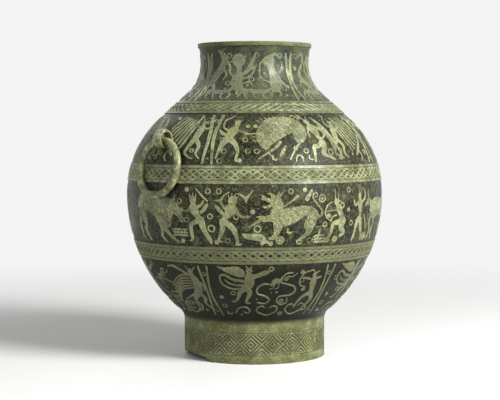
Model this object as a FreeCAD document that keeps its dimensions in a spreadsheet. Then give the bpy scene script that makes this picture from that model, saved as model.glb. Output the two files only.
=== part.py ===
import FreeCAD, Part

import math
import os

import Sketcher

# Bronze hu: a pear-shaped wine vessel on a ring foot, with three raised bands round the wall and two lugs
# that each hold a loose ring. Millimetres, +Z up, origin at the middle of the foot's underside,
# one ring towards -X and the other towards +X.

# Driving sizes: name, value and what it measures.
SIZES = [
    ("wall", 3, "thickness of the cast wall"),
    ("foot_radius", 77, "outside of the ring foot"),
    ("foot_wall", 4, "thickness of the ring foot"),
    ("foot_height", 40, "the foot's upright side, up to its hollow curve"),
    ("foot_fillet", 14, "radius of that curve, between the foot and the belly"),
    ("under_radius", 52.9, "flat middle of the vessel's underside"),
    ("belly_radius", 139.3, "widest part of the belly"),
    ("belly_height", 177.8, "height of the widest part"),
    ("neck_radius", 58.6, "narrowest part of the neck"),
    ("neck_rise", 140.8, "from the widest part up to the narrowest"),
    ("neck_curve", 42.6, "hollow curve from the shoulder up to the neck"),
    ("shoulder_straight", 41.4, "straight stretch of the shoulder's outline"),
    ("lip_curve", 70, "hollow curve of the flaring lip"),
    ("lip_height", 21.4, "from the neck's narrowest part up to the top of the rim"),
    ("rim_strip", 4.5, "height of the rim strip"),
    ("rim_relief", 1.35, "how far the rim strip stands proud of the lip"),
    ("band_width", 18.6, "raised band, measured along the wall"),
    ("band_relief", 0.8, "how far a band stands proud"),
    ("top_band_drop", 48.4, "from the neck's narrowest part down to the middle of the top band"),
    ("middle_band_rise", 24.1, "from the belly's widest part up to the middle of the next band"),
    ("lower_band_drop", 58.2, "from the widest part down to the middle of the lowest band"),
    ("lower_strip", 9, "plain strip round the foot's edge, under its sunk panel"),
    ("upper_strip", 7, "plain strip over that panel, on the foot's upright side"),
    ("panel_depth", 0.7, "depth of that panel"),
    ("figure_relief", 0.5, "how far the figures between the bands stand proud"),
    ("lug_rise", 59.8, "from the belly's widest part up to the middle of a lug's hole"),
    ("lug_hole", 5.7, "radius of that hole"),
    ("lug_thickness", 4.7, "the lug's oval bar, from the hole to the outside"),
    ("lug_width", 12.6, "that bar, along the hole"),
    ("lug_root", 1.6, "how deep the lug is sunk in the wall"),
    ("ring_radius", 28.8, "loose ring, to the middle of its bar"),
    ("ring_bar", 3.7, "radius of the ring's round bar"),
    ("ring_play", 0.3, "gap between a ring and what it rests on"),
    ("chip_angle", 157, "middle of the broken stretch of the foot, from +X"),
    ("chip_width", 88, "length of that stretch"),
    ("chip_height", 5.6, "how far up it is broken"),
]

doc = FreeCAD.newDocument("Hu")
sheet = doc.addObject("Spreadsheet::Sheet", "Sizes")
for row, (alias, value, note) in enumerate(SIZES, start=1):
    sheet.set(f"A{row}", alias)
    sheet.set(f"B{row}", str(value))
    sheet.set(f"C{row}", note)
    sheet.setAlias(f"B{row}", alias)
doc.recompute()


class Values:
    """The sheet's driving sizes as plain numbers, one attribute each."""

    def __init__(self):
        for alias, _, _ in SIZES:
            setattr(self, alias, float(sheet.get(alias)))


size = Values()


def turned(centre, radius, angle):
    """The point at an angle (radians) on a circle in the section's plane, as (radius, height)."""
    return (centre[0] + radius * math.cos(angle), centre[1] + radius * math.sin(angle))


class Outline:
    """The wall's section: arcs that are tangent to each other, inset from the outside by so much."""

    def __init__(self, inset=0.0):
        neck_height = size.belly_height + size.neck_rise
        bulge = size.belly_radius - size.foot_radius
        drop = size.belly_height - size.foot_height
        # Below its widest part the belly is one arc that runs into the foot's hollow curve.
        lower_curve = ((bulge - size.foot_fillet) ** 2 + drop**2 - size.foot_fillet**2) / (2 * bulge)
        self.lower_radius = lower_curve - inset
        self.lower_centre = (size.belly_radius - lower_curve, size.belly_height)
        # Above it an arc and a straight stretch run into the hollow of the neck.
        narrowing = size.belly_radius - size.neck_radius
        both_curves = narrowing**2 + size.neck_rise**2 - size.shoulder_straight**2
        shoulder_curve = both_curves / (2 * narrowing) - size.neck_curve
        self.shoulder_radius = shoulder_curve - inset
        self.shoulder_centre = (size.belly_radius - shoulder_curve, size.belly_height)
        self.neck_radius = size.neck_curve + inset
        self.neck_centre = (size.neck_radius + size.neck_curve, neck_height)
        self.lip_radius = size.lip_curve + inset
        self.lip_centre = (size.neck_radius + size.lip_curve, neck_height)
        across = self.neck_centre[0] - self.shoulder_centre[0]
        # The straight stretch touches both of its arcs: its normal has this angle.
        self.slope = math.atan2(size.neck_rise, across)
        self.slope -= math.atan2(size.shoulder_straight, self.shoulder_radius + self.neck_radius)
        self.cone_start = turned(self.shoulder_centre, self.shoulder_radius, self.slope)
        self.cone_end = turned(self.neck_centre, self.neck_radius, self.slope + math.pi)

    def lower_radius_at(self, height):
        """The lower belly's distance from the axis at a height."""
        return self.lower_centre[0] + math.sqrt(self.lower_radius**2 - (height - self.lower_centre[1]) ** 2)

    def lower_height_at(self, radius):
        """The lower belly's height at a distance from the axis."""
        return self.lower_centre[1] - math.sqrt(self.lower_radius**2 - (radius - self.lower_centre[0]) ** 2)

    def lip_radius_at(self, height):
        """The lip's distance from the axis at a height."""
        return self.lip_centre[0] - math.sqrt(self.lip_radius**2 - (height - self.lip_centre[1]) ** 2)

    def at(self, height):
        """The wall at a height: its distance from the axis, the angle of its normal above level, and the
        expression of its curve's radius, which is None where it is straight or hollow."""
        if height < size.belly_height:
            angle = math.asin((height - size.belly_height) / self.lower_radius)
            return self.lower_radius_at(height), angle, LOWER_CURVE
        if height < self.cone_start[1]:
            angle = math.asin((height - size.belly_height) / self.shoulder_radius)
            return turned(self.shoulder_centre, self.shoulder_radius, angle)[0], angle, SHOULDER_CURVE
        if height < self.cone_end[1]:
            along = (height - self.cone_start[1]) / (self.cone_end[1] - self.cone_start[1])
            radius = self.cone_start[0] + along * (self.cone_end[0] - self.cone_start[0])
            return radius, self.slope, None
        angle = math.asin((self.neck_centre[1] - height) / self.neck_radius)
        return self.neck_centre[0] - self.neck_radius * math.cos(angle), angle, None

    def distance(self, radius, height):
        """How far a point outside the vessel, between the foot and the neck, is from the wall."""
        if height < size.belly_height:
            return math.dist((radius, height), self.lower_centre) - self.lower_radius
        angle = math.atan2(height - size.belly_height, radius - self.shoulder_centre[0])
        if angle < self.slope:
            return math.dist((radius, height), self.shoulder_centre) - self.shoulder_radius
        normal = (math.cos(self.slope), math.sin(self.slope))
        out = (radius - self.cone_start[0]) * normal[0] + (height - self.cone_start[1]) * normal[1]
        up = (height - self.cone_start[1]) * normal[0] - (radius - self.cone_start[0]) * normal[1]
        if up < size.shoulder_straight:
            return out
        return self.neck_radius - math.dist((radius, height), self.neck_centre)


# The same two curves as expressions of the sheet.
BULGE = "(Sizes.belly_radius - Sizes.foot_radius)"
LOWER_CURVE = f"(({BULGE} - Sizes.foot_fillet)^2 + (Sizes.belly_height - Sizes.foot_height)^2"
LOWER_CURVE = f"({LOWER_CURVE} - Sizes.foot_fillet^2) / (2 * {BULGE}))"
NARROWING = "(Sizes.belly_radius - Sizes.neck_radius)"
SHOULDER_CURVE = f"({NARROWING}^2 + Sizes.neck_rise^2 - Sizes.shoulder_straight^2)"
SHOULDER_CURVE = f"({SHOULDER_CURVE} / (2 * {NARROWING}) - Sizes.neck_curve)"
NECK_HEIGHT = "(Sizes.belly_height + Sizes.neck_rise)"
TOTAL_HEIGHT = f"({NECK_HEIGHT} + Sizes.lip_height)"
UNDER_ACROSS = f"(Sizes.under_radius - Sizes.belly_radius + {LOWER_CURVE})"
UNDER_HEIGHT = f"(Sizes.belly_height - sqrt({LOWER_CURVE}^2 - {UNDER_ACROSS}^2))"

outside = Outline()
inside = Outline(size.wall)


def plane(body, role):
    """A body's own origin plane or axis, by its role."""
    return next(item for item in body.Origin.OriginFeatures if item.Role == role)


def new_sketch(body, name, role, base=(0, 0, 0), axis=(0, 0, 1), angle=0.0):
    """A sketch on one of a body's origin planes, moved and turned (degrees) from there."""
    sketch = body.newObject("Sketcher::SketchObject", name)
    sketch.AttachmentSupport = [(plane(body, role), "")]
    sketch.MapMode = "FlatFace"
    turn = FreeCAD.Rotation(FreeCAD.Vector(*axis), angle)
    sketch.AttachmentOffset = FreeCAD.Placement(FreeCAD.Vector(*base), turn)
    return sketch


def point(at):
    """A point of a sketch as a vector."""
    return FreeCAD.Vector(at[0], at[1], 0)


def add_line(sketch, start, end):
    """A straight edge."""
    return sketch.addGeometry(Part.LineSegment(point(start), point(end)), False)


def add_arc(sketch, centre, radius, start, end):
    """A round edge between two angles (radians), anticlockwise."""
    circle = Part.Circle(point(centre), FreeCAD.Vector(0, 0, 1), radius)
    return sketch.addGeometry(Part.ArcOfCircle(circle, start, end), False)


def fix(sketch, kind, *where, to=None, value=1.0):
    """One constraint. Where it has a size, that size is an expression of the sheet."""
    if to is None:
        return sketch.addConstraint(Sketcher.Constraint(kind, *where))
    number = sketch.addConstraint(Sketcher.Constraint(kind, *where, value))
    sketch.setExpression(f"Constraints[{number}]", to)
    return number


ORIGIN = (-1, 1)
LEVEL_AXIS, UPRIGHT_AXIS = -1, -2
START, END, CENTRE = range(1, 4)


def set_from_origin(sketch, edge, end, across=None, up=None):
    """Places an edge's end by expressions of its distance from the sketch's origin."""
    at = sketch.getPoint(edge, end)
    if across:
        fix(sketch, "DistanceX", *ORIGIN, edge, end, to=across, value=at.x)
    if up:
        fix(sketch, "DistanceY", *ORIGIN, edge, end, to=up, value=at.y)


def add_wall(sketch, outline, inset, first_angle, last_angle):
    """The wall's five edges from the lower belly up to the lip, each tangent to the next."""
    lower = add_arc(sketch, outline.lower_centre, outline.lower_radius, first_angle, 0)
    shoulder = add_arc(sketch, outline.shoulder_centre, outline.shoulder_radius, 0, outline.slope)
    cone = add_line(sketch, outline.cone_start, outline.cone_end)
    neck = add_arc(sketch, outline.neck_centre, outline.neck_radius, math.pi, outline.slope + math.pi)
    lip = add_arc(sketch, outline.lip_centre, outline.lip_radius, last_angle, math.pi)
    fix(sketch, "Tangent", lower, END, shoulder, START)
    fix(sketch, "Tangent", shoulder, END, cone, START)
    fix(sketch, "Tangent", cone, END, neck, END)
    fix(sketch, "Tangent", neck, START, lip, END)
    fix(sketch, "Radius", lower, to=f"{LOWER_CURVE} - {inset}", value=outline.lower_radius)
    fix(sketch, "Radius", shoulder, to=f"{SHOULDER_CURVE} - {inset}", value=outline.shoulder_radius)
    fix(sketch, "Radius", neck, to=f"Sizes.neck_curve + {inset}", value=outline.neck_radius)
    fix(sketch, "Radius", lip, to=f"Sizes.lip_curve + {inset}", value=outline.lip_radius)
    set_from_origin(sketch, lower, END, f"Sizes.belly_radius - {inset}", "Sizes.belly_height")
    set_from_origin(sketch, neck, START, f"Sizes.neck_radius - {inset}", NECK_HEIGHT)
    fix(sketch, "Horizontal", lower, END, lower, CENTRE)
    fix(sketch, "Horizontal", neck, START, neck, CENTRE)
    return lower, lip


def revolve(body, kind, name, sketch, axis=None):
    """A full turn of a sketch about the vessel's axis, added to the body or cut from it."""
    before = body.Shape.Volume if not body.Shape.isNull() else 0.0
    feature = body.newObject(kind, name)
    feature.Profile = sketch
    feature.ReferenceAxis = axis or (sketch, ["V_Axis"])
    feature.Angle = 360
    doc.recompute()
    growth = body.Shape.Volume - before
    if kind == "PartDesign::Groove":
        growth = -growth
    if growth < 1:
        raise RuntimeError(f"{name} changed nothing")
    return feature


# The casting: its outside is one turned form, and its hollow and the space under its foot are cut from it.
vessel = doc.addObject("PartDesign::Body", "CastVessel")

outer = new_sketch(vessel, "OutsideSection", "XZ_Plane")
fillet_centre = (size.foot_radius + size.foot_fillet, size.foot_height)
fillet_across = fillet_centre[0] - outside.lower_centre[0]
fillet_angle = math.atan2(size.foot_height - size.belly_height, fillet_across)
total_height = size.belly_height + size.neck_rise + size.lip_height
rim_bottom = total_height - size.rim_strip
lip_end_angle = math.pi - math.asin((size.lip_height - size.rim_strip) / size.lip_curve)
lip_top = (outside.lip_radius_at(rim_bottom), rim_bottom)
rim_radius = lip_top[0] + size.rim_relief
lower, lip = add_wall(outer, outside, "0", fillet_angle, lip_end_angle)
ground = add_line(outer, (0, 0), (size.foot_radius, 0))
foot_side = add_line(outer, (size.foot_radius, 0), (size.foot_radius, size.foot_height))
fillet = add_arc(outer, fillet_centre, size.foot_fillet, fillet_angle + math.pi, math.pi)
rim_step = add_line(outer, lip_top, (rim_radius, rim_bottom))
rim_side = add_line(outer, (rim_radius, rim_bottom), (rim_radius, total_height))
rim_top = add_line(outer, (rim_radius, total_height), (0, total_height))
middle = add_line(outer, (0, total_height), (0, 0))
fix(outer, "Coincident", ground, START, *ORIGIN)
fix(outer, "Horizontal", ground)
fix(outer, "Coincident", ground, END, foot_side, START)
fix(outer, "Vertical", foot_side)
fix(outer, "Tangent", foot_side, END, fillet, END)
fix(outer, "Tangent", fillet, START, lower, START)
fix(outer, "Coincident", lip, START, rim_step, START)
fix(outer, "Horizontal", rim_step)
fix(outer, "Coincident", rim_step, END, rim_side, START)
fix(outer, "Vertical", rim_side)
fix(outer, "Coincident", rim_side, END, rim_top, START)
fix(outer, "Horizontal", rim_top)
fix(outer, "Coincident", rim_top, END, middle, START)
fix(outer, "Coincident", middle, END, ground, START)
fix(outer, "PointOnObject", rim_top, END, UPRIGHT_AXIS)
set_from_origin(outer, ground, END, across="Sizes.foot_radius")
set_from_origin(outer, rim_side, END, up=TOTAL_HEIGHT)
fix(outer, "DistanceX", rim_step, START, rim_step, END, to="Sizes.rim_relief", value=size.rim_relief)
fix(outer, "Radius", fillet, to="Sizes.foot_fillet", value=size.foot_fillet)
fix(outer, "DistanceY", rim_side, START, rim_side, END, to="Sizes.rim_strip", value=size.rim_strip)
revolve(vessel, "PartDesign::Revolution", "Outside", outer)

hollow = new_sketch(vessel, "HollowSection", "XZ_Plane")
under_height = outside.lower_height_at(size.under_radius)
floor_height = under_height + size.wall
floor_angle = math.asin((floor_height - size.belly_height) / inside.lower_radius)
mouth_angle = math.pi - math.asin(size.lip_height / inside.lip_radius)
floor_edge = (inside.lower_radius_at(floor_height), floor_height)
mouth_edge = (inside.lip_radius_at(total_height), total_height)
lower, lip = add_wall(hollow, inside, "Sizes.wall", floor_angle, mouth_angle)
floor_line = add_line(hollow, (0, floor_height), floor_edge)
mouth = add_line(hollow, mouth_edge, (0, total_height))
middle = add_line(hollow, (0, total_height), (0, floor_height))
fix(hollow, "Coincident", floor_line, END, lower, START)
fix(hollow, "Horizontal", floor_line)
fix(hollow, "Coincident", lip, START, mouth, START)
fix(hollow, "Horizontal", mouth)
fix(hollow, "Coincident", mouth, END, middle, START)
fix(hollow, "Coincident", middle, END, floor_line, START)
fix(hollow, "PointOnObject", mouth, END, UPRIGHT_AXIS)
fix(hollow, "PointOnObject", floor_line, START, UPRIGHT_AXIS)
set_from_origin(hollow, floor_line, START, up=f"{UNDER_HEIGHT} + Sizes.wall")
set_from_origin(hollow, mouth, START, up=TOTAL_HEIGHT)
revolve(vessel, "PartDesign::Groove", "Hollow", hollow)

recess = new_sketch(vessel, "RecessSection", "XZ_Plane")
foot_inside = size.foot_radius - size.foot_wall
bowl_start = -math.acos((size.under_radius - outside.lower_centre[0]) / outside.lower_radius)
bowl_end = -math.acos((foot_inside - outside.lower_centre[0]) / outside.lower_radius)
bowl_edge = (size.under_radius, under_height)
bowl_corner = turned(outside.lower_centre, outside.lower_radius, bowl_end)
bowl = add_arc(recess, outside.lower_centre, outside.lower_radius, bowl_start, bowl_end)
ground = add_line(recess, (0, 0), (foot_inside, 0))
foot_side = add_line(recess, (foot_inside, 0), bowl_corner)
under = add_line(recess, bowl_edge, (0, under_height))
middle = add_line(recess, (0, under_height), (0, 0))
fix(recess, "Coincident", ground, START, *ORIGIN)
fix(recess, "Horizontal", ground)
fix(recess, "Coincident", ground, END, foot_side, START)
fix(recess, "Vertical", foot_side)
fix(recess, "Coincident", foot_side, END, bowl, END)
fix(recess, "Coincident", bowl, START, under, START)
fix(recess, "Horizontal", under)
fix(recess, "Coincident", under, END, middle, START)
fix(recess, "Coincident", middle, END, ground, START)
fix(recess, "PointOnObject", under, END, UPRIGHT_AXIS)
set_from_origin(recess, ground, END, across="Sizes.foot_radius - Sizes.foot_wall")
set_from_origin(recess, under, START, across="Sizes.under_radius")
set_from_origin(recess, bowl, CENTRE, f"Sizes.belly_radius - {LOWER_CURVE}", "Sizes.belly_height")
fix(recess, "Radius", bowl, to=LOWER_CURVE, value=outside.lower_radius)
revolve(vessel, "PartDesign::Groove", "FootRecess", recess)

# The foot's sunk panel, between its upper and its lower strip.
panel = new_sketch(vessel, "PanelSection", "XZ_Plane")
PROUD = 1.0
panel_top = size.foot_height - size.upper_strip
panel_corners = [
    (size.foot_radius - size.panel_depth, size.lower_strip),
    (size.foot_radius + PROUD, size.lower_strip),
    (size.foot_radius + PROUD, panel_top),
    (size.foot_radius - size.panel_depth, panel_top),
]
sides = [add_line(panel, panel_corners[i - 1], panel_corners[i]) for i in range(4)]
for side, next_side in zip(sides, sides[1:] + sides[:1]):
    fix(panel, "Coincident", side, END, next_side, START)
for side in (sides[1], sides[3]):
    fix(panel, "Horizontal", side)
for side in (sides[0], sides[2]):
    fix(panel, "Vertical", side)
set_from_origin(panel, sides[0], END, "Sizes.foot_radius - Sizes.panel_depth", "Sizes.lower_strip")
set_from_origin(panel, sides[2], END, up="Sizes.foot_height - Sizes.upper_strip")
set_from_origin(panel, sides[2], END, across=f"Sizes.foot_radius + {PROUD}")
revolve(vessel, "PartDesign::Groove", "FootPanel", panel)


def add_band(name, band_height):
    """A raised band. Its section is drawn at the band's middle, with x along the wall's normal."""
    radius, angle, curve_expression = outside.at(band_height)
    middle_point = (radius, band_height, 0)
    sketch = new_sketch(vessel, f"{name}Section", "XZ_Plane", middle_point, angle=math.degrees(angle))
    half = size.band_width / 2
    if curve_expression:
        curve = outside.lower_radius if curve_expression == LOWER_CURVE else outside.shoulder_radius
        swing = math.asin(half / (curve + size.band_relief))
        face = add_arc(sketch, (-curve, 0), curve + size.band_relief, -swing, swing)
        face_x = sketch.getPoint(face, START).x
        set_from_origin(sketch, face, CENTRE, across=f"-{curve_expression}")
        fix(sketch, "PointOnObject", face, CENTRE, LEVEL_AXIS)
        reach = f"{curve_expression} + Sizes.band_relief"
        fix(sketch, "Radius", face, to=reach, value=curve + size.band_relief)
    else:
        face_x = size.band_relief
        face = add_line(sketch, (face_x, -half), (face_x, half))
        set_from_origin(sketch, face, END, across="Sizes.band_relief")
    root = -size.wall / 2
    upper = add_line(sketch, (face_x, half), (root, half))
    back = add_line(sketch, (root, half), (root, -half))
    under = add_line(sketch, (root, -half), (face_x, -half))
    fix(sketch, "Coincident", face, END, upper, START)
    fix(sketch, "Coincident", upper, END, back, START)
    fix(sketch, "Coincident", back, END, under, START)
    fix(sketch, "Coincident", under, END, face, START)
    fix(sketch, "Horizontal", upper)
    fix(sketch, "Vertical", back)
    fix(sketch, "Horizontal", under)
    set_from_origin(sketch, back, START, "-Sizes.wall / 2", "Sizes.band_width / 2")
    set_from_origin(sketch, back, END, up="-Sizes.band_width / 2")
    revolve(vessel, "PartDesign::Revolution", name, sketch, (plane(vessel, "Z_Axis"), [""]))


BANDS = {
    "TopBand": size.belly_height + size.neck_rise - size.top_band_drop,
    "MiddleBand": size.belly_height + size.middle_band_rise,
    "LowerBand": size.belly_height - size.lower_band_drop,
}
for band_name, band_height in BANDS.items():
    add_band(band_name, band_height)

HALVINGS = 40

# A lug is a cast eye: a round loop of oval bar, sunk a little into the wall. The other lug mirrors it.
eye_radius = size.lug_hole + size.lug_thickness / 2
lug_standoff = size.lug_hole + size.lug_thickness - size.lug_root
lug_height = size.belly_height + size.lug_rise
eye_across, too_far = outside.at(lug_height)[0], 2 * size.belly_radius
for _ in range(HALVINGS):
    across = (eye_across + too_far) / 2
    if outside.distance(across, lug_height) < lug_standoff:
        eye_across = across
    else:
        too_far = across
lug_section = new_sketch(vessel, "LugSection", "XY_Plane", (eye_across, 0, lug_height))
broad = FreeCAD.Vector(eye_radius, size.lug_width / 2, 0)
narrow = FreeCAD.Vector(eye_radius + size.lug_thickness / 2, 0, 0)
oval = lug_section.addGeometry(Part.Ellipse(broad, narrow, FreeCAD.Vector(eye_radius, 0, 0)), False)
lug_section.exposeInternalGeometry(oval)
long_axis = oval + 1
short_axis = oval + 2
set_from_origin(lug_section, oval, CENTRE, across="Sizes.lug_hole + Sizes.lug_thickness / 2")
fix(lug_section, "PointOnObject", oval, CENTRE, LEVEL_AXIS)
fix(lug_section, "Vertical", long_axis)
fix(lug_section, "Distance", long_axis, to="Sizes.lug_width", value=size.lug_width)
fix(lug_section, "Distance", short_axis, to="Sizes.lug_thickness", value=size.lug_thickness)
bare_volume = vessel.Shape.Volume
lug = revolve(vessel, "PartDesign::Revolution", "Lug", lug_section)
lug_volume = vessel.Shape.Volume - bare_volume
other_lug = vessel.newObject("PartDesign::Mirrored", "OtherLug")
other_lug.Originals = [lug]
other_lug.MirrorPlane = (plane(vessel, "YZ_Plane"), [""])
vessel.Tip = other_lug
doc.recompute()
if vessel.Shape.Volume < bare_volume + 1.9 * lug_volume:
    raise RuntimeError("a lug is missing")

# The ragged break in the foot's edge: shares of its width and of its height, from one end to the other.
BREAK = [(-0.5, 0), (-0.47, 0.42), (-0.3, 0.5), (-0.24, 0.92), (0.02, 1)]
BREAK += [(0.1, 0.62), (0.27, 0.56), (0.34, 0.2), (0.5, 0)]
chip = new_sketch(vessel, "BreakOutline", "XZ_Plane", axis=(0, 1, 0), angle=size.chip_angle - 90)
corners = [(across * size.chip_width, up * size.chip_height) for across, up in BREAK]
corners = [(corners[0][0], -PROUD), *corners, (corners[-1][0], -PROUD)]
edges = [add_line(chip, corners[i - 1], corners[i]) for i in range(len(corners))]
for edge, next_edge in zip(edges, edges[1:] + edges[:1]):
    fix(chip, "Coincident", edge, END, next_edge, START)
for edge, (across, up) in zip(edges[1:-1], BREAK):
    set_from_origin(chip, edge, END, f"{across} * Sizes.chip_width", f"{up} * Sizes.chip_height")
for edge, (across, _) in ((edges[0], BREAK[0]), (edges[-1], BREAK[-1])):
    set_from_origin(chip, edge, END, f"{across} * Sizes.chip_width", f"-{PROUD}")
whole_volume = vessel.Shape.Volume
broken = vessel.newObject("PartDesign::Pocket", "Break")
broken.Profile = chip
broken.Type = "Length"
broken.setExpression("Length", f"Sizes.foot_radius + {PROUD}")
doc.recompute()
print("broken off the foot", round(whole_volume - vessel.Shape.Volume), "cubic mm")
if vessel.Shape.Volume > whole_volume - 1:
    raise RuntimeError("the break cuts nothing")

# The skin of the wall, from within it out to the figures' faces.
skin = doc.addObject("PartDesign::Body", "FigureSkin")
skin_section = new_sketch(skin, "SkinSection", "XZ_Plane")
skin_start = size.foot_height + size.foot_fillet
skin_sides = []
for inset, inset_expression in ((size.wall / 2, "Sizes.wall / 2"), (-size.figure_relief, "-Sizes.figure_relief")):
    layer = Outline(inset)
    start_angle = math.asin((skin_start - size.belly_height) / layer.lower_radius)
    end_angle = math.pi - math.asin((size.lip_height - size.rim_strip) / layer.lip_radius)
    lower, lip = add_wall(skin_section, layer, f"({inset_expression})", start_angle, end_angle)
    set_from_origin(skin_section, lower, START, up="Sizes.foot_height + Sizes.foot_fillet")
    set_from_origin(skin_section, lip, START, up=f"{TOTAL_HEIGHT} - Sizes.rim_strip")
    skin_sides.append((lower, lip))
for inner_edge, outer_edge in zip(*skin_sides):
    ends = [skin_section.getPoint(edge, START) for edge in (inner_edge, outer_edge)]
    closing = add_line(skin_section, *ends)
    fix(skin_section, "Coincident", closing, START, inner_edge, START)
    fix(skin_section, "Coincident", closing, END, outer_edge, START)
revolve(skin, "PartDesign::Revolution", "Skin", skin_section)

# The largest figures of the row round the belly: beasts and hunters, cast flat and proud of the wall. An
# outline is drawn from the middle of the row, with x to the right as it is seen from outside.
RHINOCEROS = [(-30, 8), (-18, 22), (14, 23), (42, 7), (30, 2), (24, -14), (33, -30), (26, -30), (10, -16)]
RHINOCEROS += [(-8, 2), (-14, -29), (-22, -29), (-28, -10)]
SPEARMAN = [(-8, 15), (-3, 22), (0, 12), (9, 17), (3, 0), (14, -28), (8, -28), (1, -11), (-7, -28), (-12, -28)]
SPEARMAN += [(-10, -8), (-4, 2), (-16, 4)]
SWORDSMAN = [(3, 13), (8, 23), (13, 12), (24, -1), (14, -4), (7, 2), (5, -10), (15, -30), (9, -30), (0, -13)]
SWORDSMAN += [(-4, -28), (-9, -28), (-6, -5), (-1, 4), (-5, 18)]
LEAPING_BEAST = [(-30, 21), (-20, 24), (-10, 24), (-8, 12), (26, 6), (23, 18), (28, 20), (36, 3), (26, -12)]
LEAPING_BEAST += [(10, -29), (6, -25), (16, -8), (-6, -11), (-12, -25), (-22, -24), (-20, -5), (-42, -12)]
LEAPING_BEAST += [(-22, 3), (-18, 10), (-30, 9)]
ARCHER = [(-6, 12), (-4, 25), (1, 11), (10, -6), (13, -22), (6, -24), (5, -12), (-3, -13), (-8, -27), (-14, -26)]
ARCHER += [(-9, -8), (2, -4), (-3, 6)]

# Each figure, with the angles (degrees) from the vessel's front at which it stands.
FIGURES = [
    (RHINOCEROS, (-49, 131)),
    (SPEARMAN, (-24.5, 155.5)),
    (SWORDSMAN, (-12.5, 167.5)),
    (LEAPING_BEAST, (15.5, 195.5)),
    (ARCHER, (38, 218)),
]
FRONT = 225.75
FIGURE_REACH = 12
row_height = (BANDS["MiddleBand"] + BANDS["LowerBand"]) / 2


def figure(outline, height):
    """One figure towards -X: a prism along the wall's normal, as much of it as lies in the skin."""
    radius, angle, _ = outside.at(height)
    normal = FreeCAD.Vector(-math.cos(angle), 0, math.sin(angle))
    right = FreeCAD.Vector(0, -1, 0)
    up = normal.cross(right)
    start = FreeCAD.Vector(-radius, 0, height) - normal * FIGURE_REACH
    corners = [start + right * x + up * y for x, y in outline]
    face = Part.Face(Part.makePolygon([*corners, corners[0]]))
    prism = face.extrude(normal * 2 * FIGURE_REACH)
    return prism.common(skin.Shape)


cast_figures = []
for outline, turns in FIGURES:
    drawn = figure(outline, row_height)
    for turn in turns:
        cast_figures.append(drawn.rotated(FreeCAD.Vector(), FreeCAD.Vector(0, 0, 1), FRONT + turn - 180))
figures = doc.addObject("Part::Feature", "Figures")
figures.Shape = Part.makeCompound(cast_figures)
body = doc.addObject("Part::MultiFuse", "vase_body")
body.Label = "vase_body"
body.Shapes = [vessel, figures]
body.Refine = False
doc.recompute()
added = body.Shape.Volume - vessel.Shape.Volume
print("figures", len(cast_figures), "add", round(added), "cubic mm")
if added < 1 or len(body.Shape.Solids) != 1:
    raise RuntimeError("the figures aren't one casting with the wall")

# A ring's bar lies at the bottom of its lug's hole, and the ring leans on the belly.
pivot = (eye_across, lug_height - (size.lug_hole - size.ring_bar - size.ring_play))
STEPS = 360


def relief_at(height):
    """How far the wall's ornament stands proud at a height on the shoulder and the belly."""
    for band_height in BANDS.values():
        angle = outside.at(band_height)[1]
        if abs(height - band_height) < size.band_width / 2 * math.cos(angle):
            return size.band_relief
    return size.figure_relief


def ring_gap(tilt):
    """The ring's distance from the wall's relief, with its plane turned out by so many radians."""
    nearest = total_height
    for step in range(STEPS):
        turn = 2 * math.pi * step / STEPS
        down = size.ring_radius * (1 - math.cos(turn))
        if down < size.ring_radius / 2:
            continue
        aside = size.ring_radius * math.sin(turn)
        across = pivot[0] + down * math.sin(tilt)
        up = pivot[1] - down * math.cos(tilt)
        clear = outside.distance(math.hypot(across, aside), up) - relief_at(up)
        nearest = min(nearest, clear - size.ring_bar)
    return nearest


def stop(free, blocked):
    """The angle, between a free and a blocked one, at which the ring comes within its play of the wall."""
    for _ in range(HALVINGS):
        middle_angle = (free + blocked) / 2
        if ring_gap(middle_angle) > size.ring_play:
            free = middle_angle
        else:
            blocked = middle_angle
    return free


lean = stop(math.pi / 2, 0)
raised = stop(math.pi / 2, math.pi)
print("pivot", [round(value, 3) for value in pivot], "lean", round(math.degrees(lean), 2))
print("swing", round(math.degrees(raised - lean), 2), "degrees")


def add_ring(name, side):
    """A loose ring in the lug on one side, turned about its own bar in the lug's hole."""
    ring = doc.addObject("Part::Torus", name)
    ring.Label = name
    ring.setExpression("Radius1", "Sizes.ring_radius")
    ring.setExpression("Radius2", "Sizes.ring_bar")
    middle_x = side * (pivot[0] + size.ring_radius * math.sin(lean))
    middle_z = pivot[1] - size.ring_radius * math.cos(lean)
    upright = FreeCAD.Rotation(FreeCAD.Vector(0, 1, 0), side * (90 - math.degrees(lean)))
    ring.Placement = FreeCAD.Placement(FreeCAD.Vector(middle_x, 0, middle_z), upright)
    return ring


subparts = [body, add_ring("left_ring", -1), add_ring("right_ring", 1)]

doc.recompute()
for item in doc.Objects:
    if {"Invalid", "Error"} & set(item.State):
        raise RuntimeError(f"{item.Name} failed: {item.State}")
for item in subparts:
    if item.Shape.isNull() or not item.Shape.isValid():
        raise RuntimeError(f"{item.Label} has no valid shape")
    print(item.Label, "solids", len(item.Shape.Solids), "volume", round(item.Shape.Volume))

os.makedirs("parts", exist_ok=True)
for item in subparts:
    item.Shape.exportStep(f"parts/{item.Label}.step")
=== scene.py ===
import math

import bmesh
import bpy
import numpy as np
from mathutils import Matrix, Vector
from mathutils.geometry import delaunay_2d_cdt


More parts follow.
